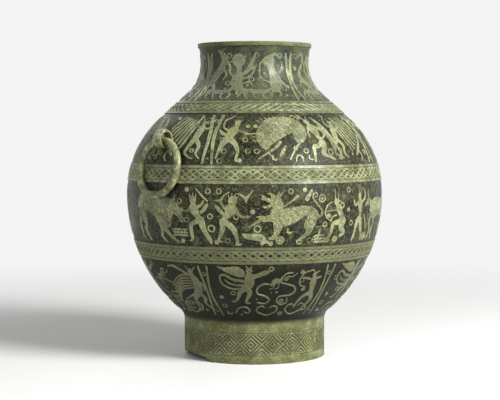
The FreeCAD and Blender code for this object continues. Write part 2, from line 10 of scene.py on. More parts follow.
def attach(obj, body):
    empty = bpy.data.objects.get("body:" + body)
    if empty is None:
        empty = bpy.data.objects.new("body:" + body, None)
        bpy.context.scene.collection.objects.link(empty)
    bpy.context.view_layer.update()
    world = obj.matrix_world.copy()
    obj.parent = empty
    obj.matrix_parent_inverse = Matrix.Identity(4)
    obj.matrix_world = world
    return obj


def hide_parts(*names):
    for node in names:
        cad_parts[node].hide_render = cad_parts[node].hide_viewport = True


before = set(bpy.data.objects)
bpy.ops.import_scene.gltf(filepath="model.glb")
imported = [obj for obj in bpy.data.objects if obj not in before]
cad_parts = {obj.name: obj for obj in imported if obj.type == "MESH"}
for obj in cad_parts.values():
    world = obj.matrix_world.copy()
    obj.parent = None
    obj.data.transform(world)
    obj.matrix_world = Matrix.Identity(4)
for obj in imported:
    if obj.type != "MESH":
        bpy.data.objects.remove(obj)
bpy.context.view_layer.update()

# The cast wall: a pear-shaped bronze vessel on a ring foot, one casting about 3 mm thick.
# Its outline is arcs that run into each other, from the foot's hollow curve up to the flaring lip.
# The foot has a sunk panel between two plain strips, and a ragged stretch of its edge is broken off.
WALL = 0.003
FOOT_RADIUS = 0.077
FOOT_WALL = 0.004
FOOT_HEIGHT = 0.040
FOOT_FILLET = 0.014
UNDER_RADIUS = 0.0529
BELLY_RADIUS = 0.1393
BELLY_HEIGHT = 0.1778
NECK_RADIUS = 0.0586
NECK_RISE = 0.1408
NECK_CURVE = 0.0426
SHOULDER_STRAIGHT = 0.0414
LIP_CURVE = 0.070
LIP_HEIGHT = 0.0214
RIM_STRIP = 0.0045
RIM_RELIEF = 0.00135
LOWER_STRIP = 0.009
UPPER_STRIP = 0.007
PANEL_DEPTH = 0.0007
NECK_HEIGHT = BELLY_HEIGHT + NECK_RISE
TOTAL_HEIGHT = NECK_HEIGHT + LIP_HEIGHT
PANEL_TOP = FOOT_HEIGHT - UPPER_STRIP
BULGE = BELLY_RADIUS - FOOT_RADIUS
LOWER_CURVE = ((BULGE - FOOT_FILLET) ** 2 + (BELLY_HEIGHT - FOOT_HEIGHT) ** 2 - FOOT_FILLET**2) / (2 * BULGE)
LOWER_CENTRE = (BELLY_RADIUS - LOWER_CURVE, BELLY_HEIGHT)
NARROWING = BELLY_RADIUS - NECK_RADIUS
BOTH_CURVES = (NARROWING**2 + NECK_RISE**2 - SHOULDER_STRAIGHT**2) / (2 * NARROWING)
SHOULDER_CURVE = BOTH_CURVES - NECK_CURVE
SHOULDER_CENTRE = (BELLY_RADIUS - SHOULDER_CURVE, BELLY_HEIGHT)
NECK_CENTRE = (NECK_RADIUS + NECK_CURVE, NECK_HEIGHT)
LIP_CENTRE = (NECK_RADIUS + LIP_CURVE, NECK_HEIGHT)
SLOPE = math.atan2(NECK_RISE, NECK_CENTRE[0] - SHOULDER_CENTRE[0])
SLOPE -= math.atan2(SHOULDER_STRAIGHT, BOTH_CURVES)
OUTER_STEP = 0.003
INNER_STEP = 0.006
TURN_STEPS = 180
EDGE_ROUND = 0.0005
SHARP = math.radians(32)


def arc(centre, radius, start, end, spacing):
    """Points along an arc from one angle to another, about so far apart, as (radius, height)."""
    count = max(2, round(abs(end - start) * radius / spacing))
    angles = [start + (end - start) * i / count for i in range(count + 1)]
    return [(centre[0] + radius * math.cos(a), centre[1] + radius * math.sin(a)) for a in angles]


def wall_curve(inset, lowest, rim_height, spacing):
    """The wall's outline from an angle on the lower belly up to a height in the lip, inset by so much."""
    highest = math.asin((rim_height - NECK_HEIGHT) / (LIP_CURVE + inset))
    points = arc(LOWER_CENTRE, LOWER_CURVE - inset, lowest, 0, spacing)
    points += arc(SHOULDER_CENTRE, SHOULDER_CURVE - inset, 0, SLOPE, spacing)[1:]
    hollow = arc(NECK_CENTRE, NECK_CURVE + inset, math.pi + SLOPE, math.pi, spacing)
    straight = max(2, round(SHOULDER_STRAIGHT / spacing))
    ends = Vector(points[-1]), Vector(hollow[0])
    points += [tuple(ends[0].lerp(ends[1], i / straight)) for i in range(1, straight)]
    return points + hollow + arc(LIP_CENTRE, LIP_CURVE + inset, math.pi, math.pi - highest, spacing)[1:]


FILLET_CENTRE = (FOOT_RADIUS + FOOT_FILLET, FOOT_HEIGHT)
FILLET_END = math.atan2(FOOT_HEIGHT - BELLY_HEIGHT, FILLET_CENTRE[0] - LOWER_CENTRE[0])
rim_bottom = TOTAL_HEIGHT - RIM_STRIP
outer_curve = arc(FILLET_CENTRE, FOOT_FILLET, math.pi, FILLET_END + math.pi, OUTER_STEP)[:-1]
outer_curve += wall_curve(0, FILLET_END, rim_bottom, OUTER_STEP)
under_across = UNDER_RADIUS - LOWER_CENTRE[0]
under_angle = -math.acos(under_across / LOWER_CURVE)
under_height = BELLY_HEIGHT + LOWER_CURVE * math.sin(under_angle)
foot_inside = FOOT_RADIUS - FOOT_WALL
bowl_end = -math.acos((foot_inside - LOWER_CENTRE[0]) / LOWER_CURVE)
floor_angle = math.asin((under_height + WALL - BELLY_HEIGHT) / (LOWER_CURVE - WALL))
inner_curve = wall_curve(WALL, floor_angle, TOTAL_HEIGHT, INNER_STEP)
rim_radius = outer_curve[-1][0] + RIM_RELIEF
section = [(0, under_height), *arc(LOWER_CENTRE, LOWER_CURVE, under_angle, bowl_end, INNER_STEP)]
section += [(foot_inside, 0), (FOOT_RADIUS, 0), (FOOT_RADIUS, LOWER_STRIP)]
section += [(FOOT_RADIUS - PANEL_DEPTH, LOWER_STRIP), (FOOT_RADIUS - PANEL_DEPTH, PANEL_TOP)]
section += [(FOOT_RADIUS, PANEL_TOP), *outer_curve, (rim_radius, rim_bottom), (rim_radius, TOTAL_HEIGHT)]
section += [*reversed(inner_curve), (0, under_height + WALL)]


def mesh_of(name, bm):
    """A bmesh as a mesh, with the bmesh freed."""
    mesh = bpy.data.meshes.new(name)
    bm.to_mesh(mesh)
    bm.free()
    return mesh


def finished(name, bm, material, smooth=True):
    """A bmesh as a piece of the vessel, in place, with its faces smooth up to its sharp edges."""
    mesh = mesh_of(name, bm)
    if smooth:
        mesh.shade_smooth()
        mesh.set_sharp_from_angle(angle=SHARP)
    mesh.materials.append(material)
    piece = bpy.data.objects.new(name, mesh)
    bpy.context.scene.collection.objects.link(piece)
    return piece


def lathe(points, steps):
    """A full turn of a section about the vessel's axis."""
    bm = bmesh.new()
    corners = [bm.verts.new((radius, 0, height)) for radius, height in points]
    edges = [bm.edges.new(pair) for pair in zip(corners, corners[1:])]
    turn = 2 * math.pi
    bmesh.ops.spin(bm, geom=corners + edges, axis=(0, 0, 1), angle=turn, steps=steps, use_merge=True)
    bmesh.ops.remove_doubles(bm, verts=bm.verts, dist=1e-6)
    bmesh.ops.recalc_face_normals(bm, faces=bm.faces)
    return bm


def input_of(node, name, value):
    """Sets one socket, or links it where the value is another node's socket."""
    if isinstance(value, bpy.types.NodeSocket):
        node.id_data.links.new(value, node.inputs[name])
    else:
        node.inputs[name].default_value = value


def add_node(material, kind, inputs=(), **settings):
    """One node of a material with its settings and its inputs by name or number."""
    node = material.node_tree.nodes.new(kind)
    for key, value in settings.items():
        setattr(node, key, value)
    for name, value in dict(inputs).items():
        input_of(node, name, value)
    return node


def new_finish(name):
    """A material with nothing but its shader."""
    material = bpy.data.materials.new(name)
    material.use_nodes = True
    return material


def coat(material, inputs):
    """Sets inputs of a finish's shader: its colour, roughness and so on."""
    for name, value in inputs.items():
        input_of(material.node_tree.nodes["Principled BSDF"], name, value)


def object_place(material):
    """The place on the piece in metres."""
    return add_node(material, "ShaderNodeTexCoord").outputs["Object"]


def height_on(material):
    """How high each place on the piece stands over the foot, in metres."""
    return add_node(material, "ShaderNodeSeparateXYZ", {0: object_place(material)}).outputs[2]


def noise(material, scale, detail, roughness=0.55):
    """A cloudy pattern from 0 to 1, with so many lumps to a metre."""
    inputs = {"Vector": object_place(material), "Scale": scale, "Detail": detail, "Roughness": roughness}
    return add_node(material, "ShaderNodeTexNoise", inputs).outputs["Fac"]


def spread(material, value, low, high, to_low=0.0, to_high=1.0):
    """A value between two limits, spread over two others and held there."""
    inputs = {"Value": value, "From Min": low, "From Max": high, "To Min": to_low, "To Max": to_high}
    return add_node(material, "ShaderNodeMapRange", inputs, interpolation_type="SMOOTHSTEP").outputs[0]


def blended(material, share, first, second):
    """Two colours mixed by a share."""
    node = add_node(material, "ShaderNodeMix", data_type="RGBA")
    for number, value in ((0, share), (6, first), (7, second)):
        input_of(node, number, value)
    return node.outputs[2]


def tinted(material, colour, tint, value, low, high, share=1.0):
    """A colour with another over it where a value runs from one limit to the other, up to a share."""
    return blended(material, spread(material, value, low, high, 0, share), colour, tint)


def patched(material, colour, layers):
    """A colour with cloudy patches of others over it. Each layer has its tint, lumps to a metre,
    detail and roughness, the limits between which its patches fade in, and its share."""
    for tint, scale, detail, roughness, low, high, share in layers:
        patches = noise(material, scale, detail, roughness)
        colour = tinted(material, colour, tint, patches, low, high, share)
    return colour


def combined(material, how, first, second):
    """Arithmetic on two values."""
    return add_node(material, "ShaderNodeMath", {0: first, 1: second}, operation=how).outputs[0]


def pitting(material, depth):
    """The cast and corroded surface: broad unevenness, fine grain and small pits, as a normal."""
    pits = add_node(material, "ShaderNodeTexVoronoi", {"Vector": object_place(material), "Scale": 420.0})
    pit = spread(material, pits.outputs["Distance"], 0.10, 0.34)
    height = combined(material, "MULTIPLY", noise(material, 900, 5, 0.65), 0.5)
    for layer, share in ((pit, 0.35), (noise(material, 90, 3), 1.2)):
        height = combined(material, "ADD", height, combined(material, "MULTIPLY", layer, share))
    inputs = {"Strength": 0.55, "Distance": depth, "Height": height}
    return add_node(material, "ShaderNodeBump", inputs).outputs[0]


def srgb(*levels):
    """A colour as it looks on screen, 0 to 255, as the shader's numbers."""
    shares = [level / 255 for level in levels]
    linear = [share / 12.92 if share <= 0.04045 else ((share + 0.055) / 1.055) ** 2.4 for share in shares]
    return (*linear, 1.0)


GROUND_DARK = srgb(11, 11, 8)
GROUND = srgb(31, 32, 24)
GROUND_PALE = srgb(104, 108, 82)
GROUND_RED = srgb(64, 46, 30)
GROUND_BLUE = srgb(58, 68, 64)
RUBBED = srgb(122, 127, 87)
RUBBED_PALE = srgb(163, 168, 124)
RUBBED_DARK = srgb(82, 83, 50)
PALE_SHEEN = (0.86, 0.94, 0.74, 1)
# The heights between which one colour passes into another; under the belly and at the lip, into painted
# shade.
NECK_FADE = (0.262, 0.285)
UNDER_BELLY_PAINTED_SHADE = (0.122, 0.10)
LIP_PAINTED_SHADE = (0.30, 0.33)
FILLET_EDGE = (0.0475, 0.0405)
RIM_EDGE = (TOTAL_HEIGHT - 0.0052, TOTAL_HEIGHT - 0.0045)
PANEL_BOTTOM_EDGE = (LOWER_STRIP - 0.0004, LOWER_STRIP + 0.0002)
PANEL_TOP_EDGE = (PANEL_TOP + 0.0004, PANEL_TOP - 0.0002)

ground_bronze = new_finish("ground_bronze")
height = height_on(ground_bronze)
clouds = noise(ground_bronze, 26, 8, 0.68)
colour = patched(ground_bronze, tinted(ground_bronze, GROUND_DARK, GROUND, clouds, 0.36, 0.62), [
    (GROUND_RED, 38, 8, 0.7, 0.52, 0.66, 0.8),
    (GROUND_BLUE, 52, 8, 0.7, 0.56, 0.70, 0.6),
    (GROUND_PALE, 85, 8, 0.7, 0.52, 0.72, 0.7),
    (RUBBED_DARK, 240, 4, 0.65, 0.52, 0.64, 0.7),
    (GROUND_PALE, 620, 4, 0.65, 0.53, 0.66, 0.75),
])
mottled = tinted(ground_bronze, GROUND_BLUE, GROUND_PALE, clouds, 0.40, 0.60)
colour = tinted(ground_bronze, colour, mottled, height, *NECK_FADE, 0.45)
# Painted shade: the ground darkens to near black down the lower belly, towards the foot.
colour = tinted(ground_bronze, colour, GROUND_DARK, height, *UNDER_BELLY_PAINTED_SHADE, 0.9)
strip = tinted(ground_bronze, RUBBED_DARK, RUBBED, noise(ground_bronze, 75, 8, 0.7), 0.42, 0.68)
# Painted shade: the plain strip darkens towards the lip.
strip = tinted(ground_bronze, strip, RUBBED_DARK, height, *LIP_PAINTED_SHADE, 0.5)
strip = patched(ground_bronze, strip, [(RUBBED_PALE, 500, 6, 0.75, 0.48, 0.66, 0.4)])
edges = [spread(ground_bronze, height, *edge) for edge in (FILLET_EDGE, RIM_EDGE)]
colour = blended(ground_bronze, combined(ground_bronze, "MAXIMUM", *edges), colour, strip)
edges = [spread(ground_bronze, height, *edge) for edge in (PANEL_BOTTOM_EDGE, PANEL_TOP_EDGE)]
sunk = combined(ground_bronze, "MULTIPLY", *edges)
colour = blended(ground_bronze, combined(ground_bronze, "MULTIPLY", sunk, 0.5), colour, GROUND)
coat(ground_bronze, {
    "Base Color": patched(ground_bronze, colour, [(GROUND_DARK, 300, 4, 0.7, 0.52, 0.70, 0.5)]),
    "Specular IOR Level": 0.2,
    "Specular Tint": PALE_SHEEN,
    "Roughness": spread(ground_bronze, clouds, 0.3, 0.7, 0.34, 0.55),
    "Normal": pitting(ground_bronze, 0.0007),
})

bm = lathe(section, TURN_STEPS)
sharp_edges = [edge for edge in bm.edges if edge.is_manifold and edge.calc_face_angle() > SHARP]
bmesh.ops.bevel(bm, geom=sharp_edges, offset=EDGE_ROUND, offset_type="OFFSET", segments=2, profile=0.5,
                affect="EDGES", material=-1, clamp_overlap=True)
wall = finished("bronze_wall", bm, ground_bronze)

# The break in the foot's edge: an old loss, 88 mm wide, where the metal has crumbled to a ragged edge.
# BREAK follows that edge from one end to the other, in shares of its width and height.
CHIP_ANGLE = math.radians(157)
CHIP_WIDTH = 0.088
CHIP_HEIGHT = 0.0062
BREAK = [(-0.5, 0), (-0.47, 0.38), (-0.33, 0.42), (-0.27, 0.68), (-0.16, 0.84), (-0.06, 1), (0.04, 0.94)]
BREAK += [(0.12, 1), (0.2, 0.9), (0.27, 0.93), (0.32, 0.76), (0.37, 0.7), (0.43, 0.34), (0.5, 0)]
bm = bmesh.new()
ragged = [(across * CHIP_WIDTH, up * CHIP_HEIGHT) for across, up in BREAK]
ragged = [(ragged[0][0], -WALL), *ragged, (ragged[-1][0], -WALL)]
face = bm.faces.new([bm.verts.new((0, across, up)) for across, up in ragged])
outwards = bmesh.ops.extrude_face_region(bm, geom=[face])["geom"]
outer_end = [item for item in outwards if isinstance(item, bmesh.types.BMVert)]
bmesh.ops.translate(bm, vec=(2 * FOOT_RADIUS, 0, 0), verts=outer_end)
bmesh.ops.recalc_face_normals(bm, faces=bm.faces)
bmesh.ops.rotate(bm, cent=(0, 0, 0), matrix=Matrix.Rotation(CHIP_ANGLE, 3, "Z"), verts=bm.verts)
breaker = finished("breaker", bm, ground_bronze)
cut = wall.modifiers.new("break", "BOOLEAN")
cut.operation = "DIFFERENCE"
cut.object = breaker
cut.solver = "EXACT"
bpy.context.view_layer.update()
broken = bpy.data.meshes.new_from_object(wall.evaluated_get(bpy.context.evaluated_depsgraph_get()))
wall.modifiers.clear()
wall.data = broken
bpy.data.objects.remove(breaker)
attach(wall, "vessel")
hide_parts("vase_body")

# The raised bands: three strips cast proud of the wall, each with a plait of four ropes between
# plain borders. Bosses fill the plait's eyes on the shoulder, and on the lowest band they lie open.
MM = 0.001
BAND_WIDTH = 0.0186
BAND_RELIEF = 0.0008
BAND_BORDER = 0.0028
FIELD_LIFT = 0.0001
STRANDS = 4
PLAIT_REPEAT = 0.036
PLAIT_STEPS = 24
PLAIT_SWING = 0.0049
PLAIT_LIFT = 0.00012
PLAIT_CROSSINGS = 3
ROPE = [(-1.2, -0.5), (-1.1, 0.2), (-0.6, 0.45), (0, 0.1), (0.6, 0.45), (1.1, 0.2), (1.2, -0.5)]
BOSS = Vector((1.5, 0.85, 0.75))
BANDS = {
    "top_band": NECK_HEIGHT - 0.0484,
    "middle_band": BELLY_HEIGHT + 0.0241,
    "lower_band": BELLY_HEIGHT - 0.0582,
}
RUBBED_WARM = srgb(133, 130, 72)
# The levels lie over the wall, in millimetres, and the heights of the painted shade over the foot, in
# metres.
FIELD_LEVEL = (0.34, 0.14)
BORDER_LEVEL = (0.62, 0.74)
LOWER_BAND_PAINTED_SHADE = (0.16, 0.13)
TOP_BAND_PAINTED_SHADE = (0.24, 0.262)

fine_curve = arc(FILLET_CENTRE, FOOT_FILLET, math.pi, FILLET_END + math.pi, MM)[:-1]
fine_curve = np.array(fine_curve + wall_curve(0, FILLET_END, rim_bottom, MM))
tangents = np.gradient(fine_curve, axis=0)
tangents /= np.linalg.norm(tangents, axis=1)[:, None]
lengths = np.concatenate([[0], np.cumsum(np.linalg.norm(np.diff(fine_curve, axis=0), axis=1))])


def length_at(height):
    """How far along the outline, from its lower end, the wall reaches a height."""
    return float(np.interp(height, fine_curve[:, 1], lengths))


def radius_at(height):
    """The wall's outside radius at a height."""
    return float(np.interp(height, fine_curve[:, 1], fine_curve[:, 0]))


def on_wall(turn, along, lift):
    """Places on the wall: angles about the axis, lengths along the outline and heights over it."""
    out = np.interp(along, lengths, tangents[:, 1]), -np.interp(along, lengths, tangents[:, 0])
    across = np.interp(along, lengths, fine_curve[:, 0]) + lift * out[0]
    up = np.interp(along, lengths, fine_curve[:, 1]) + lift * out[1]
    return np.stack([across * np.cos(turn), across * np.sin(turn), up + 0 * turn], -1)


def moved(verts, places):
    """Sets each corner at its place."""
    for vert, place in zip(verts, places):
        vert.co = place


def set_down(bm, mesh, turn, start):
    """One copy of a flat mesh, bent onto the wall at an angle, over a length along the outline."""
    before = len(bm.verts)
    bm.from_mesh(mesh)
    bm.verts.ensure_lookup_table()
    placed = bm.verts[before:]
    flat = np.array([vert.co for vert in placed])
    around = np.interp(start + flat[:, 1], lengths, fine_curve[:, 0])
    moved(placed, on_wall(turn + flat[:, 0] / around, start + flat[:, 1], flat[:, 2]))


def on_vessel(name, bm, material):
    """A piece of the casting, which stands for the vessel's wall and moves with it."""
    piece = finished(name, bm, material)
    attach(piece, "vessel")
    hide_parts("vase_body")


band_bronze = new_finish("band_bronze")
height = height_on(band_bronze)
proud = add_node(band_bronze, "ShaderNodeAttribute", attribute_name="proud").outputs["Fac"]
cloud = noise(band_bronze, 34, 8, 0.68)
colour = patched(band_bronze, tinted(band_bronze, RUBBED_DARK, RUBBED, cloud, 0.34, 0.52), [
    (RUBBED_PALE, 90, 8, 0.68, 0.40, 0.60, 1.0),
    (RUBBED_WARM, 40, 6, 0.65, 0.50, 0.66, 0.5),
])
colour = tinted(band_bronze, colour, GROUND, proud, *FIELD_LEVEL, 0.75)
# Painted shade and wear: the tops of the borders and bosses are darkened in patches, which dims their lit
# faces.
border_shade_and_wear = spread(band_bronze, noise(band_bronze, 150, 6, 0.7), 0.36, 0.60, 0.25, 0.85)
border = combined(band_bronze, "MULTIPLY", spread(band_bronze, proud, *BORDER_LEVEL), border_shade_and_wear)
colour = blended(band_bronze, border, colour, RUBBED_DARK)
# Painted shade: the lowest band and the top band are darkened by height.
band_shade_heights = (*LOWER_BAND_PAINTED_SHADE, 0, 0.7), (*TOP_BAND_PAINTED_SHADE, 0, 0.4)
shaded = combined(band_bronze, "ADD", *[spread(band_bronze, height, *fade) for fade in band_shade_heights])
colour = blended(band_bronze, shaded, colour, RUBBED_DARK)
coat(band_bronze, {
    "Base Color": patched(band_bronze, colour, [(GROUND, 420, 4, 0.7, 0.52, 0.72, 0.6)]),
    "Metallic": 0.1,
    "Roughness": spread(band_bronze, cloud, 0.3, 0.7, 0.36, 0.52),
    "Normal": pitting(band_bronze, 0.0005),
})


def hoop(outline, middle, steps, bend=None):
    """A closed outline, across the wall and out of it, carried once round the vessel.
    Where bend is given, it moves each corner, from its angle, its place across and its height."""
    bm = bmesh.new()
    proud = bm.verts.layers.float.new("proud")
    outline = np.array(outline)
    flat = on_wall(np.zeros(len(outline)), middle + outline[:, 0], outline[:, 1])
    corners = [bm.verts.new(place) for place in flat]
    edges = [bm.edges.new(pair) for pair in zip(corners, corners[1:] + corners[:1])]
    turn = 2 * math.pi
    bmesh.ops.spin(bm, geom=corners + edges, axis=(0, 0, 1), angle=turn, steps=steps, use_merge=True)
    bmesh.ops.recalc_face_normals(bm, faces=bm.faces)
    found = np.array([vert.co for vert in bm.verts])
    seen = np.stack([np.hypot(found[:, 0], found[:, 1]), found[:, 2]], 1)
    nearest = np.linalg.norm(seen[:, None] - flat[None, :, ::2], axis=2).argmin(1)
    for vert, lift in zip(bm.verts, outline[nearest, 1]):
        vert[proud] = lift / MM
    if bend:
        moved(bm.verts, bend(np.arctan2(found[:, 1], found[:, 0]), *outline[nearest].T))
    return bm


boss_bm = bmesh.new()
bmesh.ops.create_uvsphere(boss_bm, u_segments=8, v_segments=4, radius=MM)
proud = boss_bm.verts.layers.float.new("proud")
for vert in boss_bm.verts:
    vert[proud] = vert.co.z / MM
bmesh.ops.scale(boss_bm, vec=BOSS, verts=boss_bm.verts)
boss_mesh = mesh_of("boss", boss_bm)
for band_name, band_height in BANDS.items():
    middle = length_at(band_height)
    around = radius_at(band_height)
    repeats = round(2 * math.pi * around / PLAIT_REPEAT)
    half = BAND_WIDTH / 2
    inner = half - BAND_BORDER
    outline = [(-half, -WALL / 4), (-half, BAND_RELIEF), (-inner, BAND_RELIEF), (-inner, FIELD_LIFT)]
    outline += [(-across, lift) for across, lift in reversed(outline)]
    band_bm = hoop(outline, middle, TURN_STEPS)

    def plaited(turn, across, lift, phase):
        """A rope's corner, moved to where the rope swings, and leaned as it runs."""
        angle = repeats * turn + phase
        lean = np.arctan(PLAIT_SWING * repeats / around * np.cos(angle))
        swing = PLAIT_SWING * np.sin(angle) + across * np.cos(lean)
        out = FIELD_LIFT + lift + PLAIT_LIFT * (1 + np.cos(PLAIT_CROSSINGS * angle))
        return on_wall(turn - across * np.sin(lean) / around, middle + swing, out)

    rope = [(across * MM, lift * MM) for across, lift in ROPE]
    for strand in range(STRANDS):
        phase = 2 * math.pi * strand / STRANDS
        rope_bm = hoop(rope, middle, repeats * PLAIT_STEPS, lambda *at: plaited(*at, phase))
        rope_mesh = mesh_of("rope", rope_bm)
        band_bm.from_mesh(rope_mesh)
        bpy.data.meshes.remove(rope_mesh)
    if band_name != "lower_band":
        for eye in range(STRANDS * repeats):
            turn = 2 * math.pi * (eye + 0.5) / (STRANDS * repeats)
            set_down(band_bm, boss_mesh, turn, middle)
    on_vessel(band_name, band_bm, band_bronze)

# The figures: hunters, beasts, birds and snakes cast flat and proud of the ground, in four
# registers between the bands. Each drawing is in millimetres: x to the right as it is seen from
# outside, y up the wall from the register's lower edge, and a stroke's third number its half width.
FIGURE_RELIEF = 0.0005
FIGURE_ROOT = 0.0006
FIGURE_SLOPE = 0.00022
GRID = 7.0
SAME = 0.12
CURVE_STEPS = 4
DRAWING_REPEAT = 0.01
LOW_ROW_PAINTED_SHADE = (0.118, 0.095)
NECK_ROW_FADE = (0.262, 0.290)


def even_curve(points, closed=False):
    """Points along an even curve through the given ones."""
    given = np.array(points, float)
    count = len(given)
    if not closed:
        given = np.vstack([2 * given[0] - given[1], given, 2 * given[-1] - given[-2]])
    found = []
    for i in range(count if closed else count - 1):
        four = [given[(i + k - closed) % len(given)] for k in range(4)]
        for t in np.arange(CURVE_STEPS) / CURVE_STEPS:
            ahead = four[2] - four[0], 2 * four[0] - 5 * four[1] + 4 * four[2] - four[3]
            last = 3 * four[1] - four[0] - 3 * four[2] + four[3]
            found.append(four[1] + 0.5 * (ahead[0] * t + ahead[1] * t**2 + last * t**3))
    return np.array(found if closed else [*found, given[-2]])


def disc(x, y, radius, sides=12):
    """A round spot."""
    angles = [2 * math.pi * i / sides for i in range(sides)]
    return [[(x + radius * math.cos(a), y + radius * math.sin(a)) for a in angles]]


def stroke(*points, closed=False):
    """A line of changing width with round ends, as outlines that overlap."""
    line = even_curve(points, closed)
    middle = line[:, :2]
    along = np.roll(middle, -1, 0) - np.roll(middle, 1, 0) if closed else np.gradient(middle, axis=0)
    along /= np.linalg.norm(along, axis=1)[:, None] + 1e-9
    side = np.stack([-along[:, 1], along[:, 0]], 1) * line[:, 2:3]
    left, right = middle + side, middle - side
    count = len(line)
    turns = [(i, (i + 1) % count) for i in range(count if closed else count - 1)]
    pieces = [[right[i], right[after], left[after], left[i]] for i, after in turns]
    if not closed:
        pieces += disc(*line[0, :3], 8) + disc(*line[-1, :3], 8)
    return pieces


def ring(x, y, radius, half=0.6):
    """A small ring."""
    angles = [2 * math.pi * i / 5 for i in range(5)]
    return stroke(*[(x + radius * math.cos(a), y + radius * math.sin(a), half) for a in angles], closed=True)


def shape(*points):
    """A closed form with an even outline."""
    return [list(even_curve(points, True))]


def mirrored(drawing):
    """The drawing seen in a mirror."""
    return [[(-x, y) for x, y in outline] for outline in drawing]


def several(values, drawn):
    """What is drawn for each value, together."""
    return [outline for value in values for outline in drawn(value)]


def covered(places, outlines):
    """Which places lie inside any of the outlines."""
    inside = np.zeros(len(places), bool)
    x, y = places[:, :1], places[:, 1:]
    for outline in outlines:
        (x0, y0), (x1, y1) = outline.T, np.roll(outline, -1, 0).T
        rise = np.where(y1 == y0, 1e-9, y1 - y0)
        crossed = ((y0 > y) != (y1 > y)) & (x < x0 + (y - y0) * (x1 - x0) / rise)
        inside |= crossed.sum(1) % 2 == 1
    return inside


def flat_mesh(drawing, relief, inner_lines=0.0):
    """The drawing's outlines joined into one flat slab with sloped sides, to set down in several
    places. The share of inner lines says how strongly the finish draws inside it."""
    outlines = [np.array(polygon, float) for polygon in drawing]
    starts = np.cumsum([0] + [len(outline) for outline in outlines]).tolist()
    edges = []
    for start, outline in zip(starts, outlines):
        edges += [(start + i, start + (i + 1) % len(outline)) for i in range(len(outline))]
    points = np.concatenate(outlines)
    low, high = points.min(0), points.max(0)
    inner = [(x, y) for x in np.arange(low[0], high[0], GRID) for y in np.arange(low[1], high[1], GRID)]
    points = [Vector(at) for at in np.concatenate([points, inner]).tolist()]
    found = delaunay_2d_cdt(points, edges, [], 0, 1e-4)
    places = np.array([tuple(at) for at in found[0]])
    triangles = np.array(found[2])
    bm = bmesh.new()
    corners = [bm.verts.new((x * MM, y * MM, 0)) for x, y in places]
    for triangle in triangles[covered(places[triangles].mean(1), outlines)]:
        bm.faces.new([corners[i] for i in triangle])
    bmesh.ops.delete(bm, geom=[vert for vert in bm.verts if not vert.link_faces], context="VERTS")
    bmesh.ops.remove_doubles(bm, verts=bm.verts, dist=SAME * MM)
    bmesh.ops.dissolve_degenerate(bm, edges=bm.edges, dist=1e-6)
    lined = bm.verts.layers.float.new("lined")
    for vert in bm.verts:
        vert[lined] = inner_lines
    pattern = bm.loops.layers.uv.new("pattern")
    for face in bm.faces:
        for loop in face.loops:
            loop[pattern].uv = (loop.vert.co.x / DRAWING_REPEAT, loop.vert.co.y / DRAWING_REPEAT)
    lower = list(bm.faces)
    upper = bmesh.ops.extrude_face_region(bm, geom=lower, use_keep_orig=True)["geom"]
    upper_faces = [item for item in upper if isinstance(item, bmesh.types.BMFace)]
    for vert in [vert for face in lower for vert in face.verts]:
        vert.co.z = -FIGURE_ROOT
    bmesh.ops.recalc_face_normals(bm, faces=bm.faces)
    bmesh.ops.inset_region(bm, faces=upper_faces, thickness=FIGURE_SLOPE, depth=0, use_boundary=True,
                           use_even_offset=False)
    for vert in {vert for face in upper_faces for vert in face.verts}:
        vert.co.z = relief
    return mesh_of("drawing", bm)


figure_bronze = new_finish("figure_bronze")
height = height_on(figure_bronze)
drawn = add_node(figure_bronze, "ShaderNodeUVMap", uv_map="pattern").outputs[0]
lined = add_node(figure_bronze, "ShaderNodeAttribute", attribute_name="lined").outputs["Fac"]
hatching = {"Vector": drawn, "Scale": 1.25, "Distortion": 9.0, "Detail": 2.0, "Detail Scale": 1.4}
hatch = add_node(figure_bronze, "ShaderNodeTexWave", hatching, bands_direction="DIAGONAL").outputs["Fac"]
scales = add_node(figure_bronze, "ShaderNodeTexVoronoi", {"Vector": drawn, "Scale": 5.0}).outputs["Distance"]
worn = spread(figure_bronze, noise(figure_bronze, 60, 8, 0.68), 0.38, 0.60)
cloud = noise(figure_bronze, 34, 8, 0.68)
colour = tinted(figure_bronze, RUBBED_DARK, RUBBED, cloud, 0.38, 0.58)
colour = blended(figure_bronze, worn, colour, RUBBED_PALE)
colour = patched(figure_bronze, colour, [(RUBBED_WARM, 30, 6, 0.65, 0.48, 0.62, 0.5)])
limits = (hatch, 0.24, 0.06, 0, 0.65), (scales, 0.42, 0.56, 0, 0.45)
cut_lines = combined(figure_bronze, "MAXIMUM", *[spread(figure_bronze, *limit) for limit in limits])
colour = blended(figure_bronze, combined(figure_bronze, "MULTIPLY", cut_lines, lined), colour, GROUND)
# Painted shade: the figures of the lowest row darken towards the bottom.
colour = tinted(figure_bronze, colour, RUBBED_DARK, height, *LOW_ROW_PAINTED_SHADE, 0.8)
corroded = spread(figure_bronze, noise(figure_bronze, 44, 8, 0.7), 0.36, 0.56)
faded = combined(figure_bronze, "MULTIPLY", spread(figure_bronze, height, *NECK_ROW_FADE, 0, 0.95), corroded)
colour = blended(figure_bronze, faded, colour, GROUND_PALE)
coat(figure_bronze, {
    "Base Color": patched(figure_bronze, colour, [(GROUND, 380, 5, 0.7, 0.50, 0.68, 0.7)]),
    "Metallic": 0.1,
    "Roughness": spread(figure_bronze, worn, 0, 1, 0.55, 0.4),
    "Normal": pitting(figure_bronze, 0.0005),
})

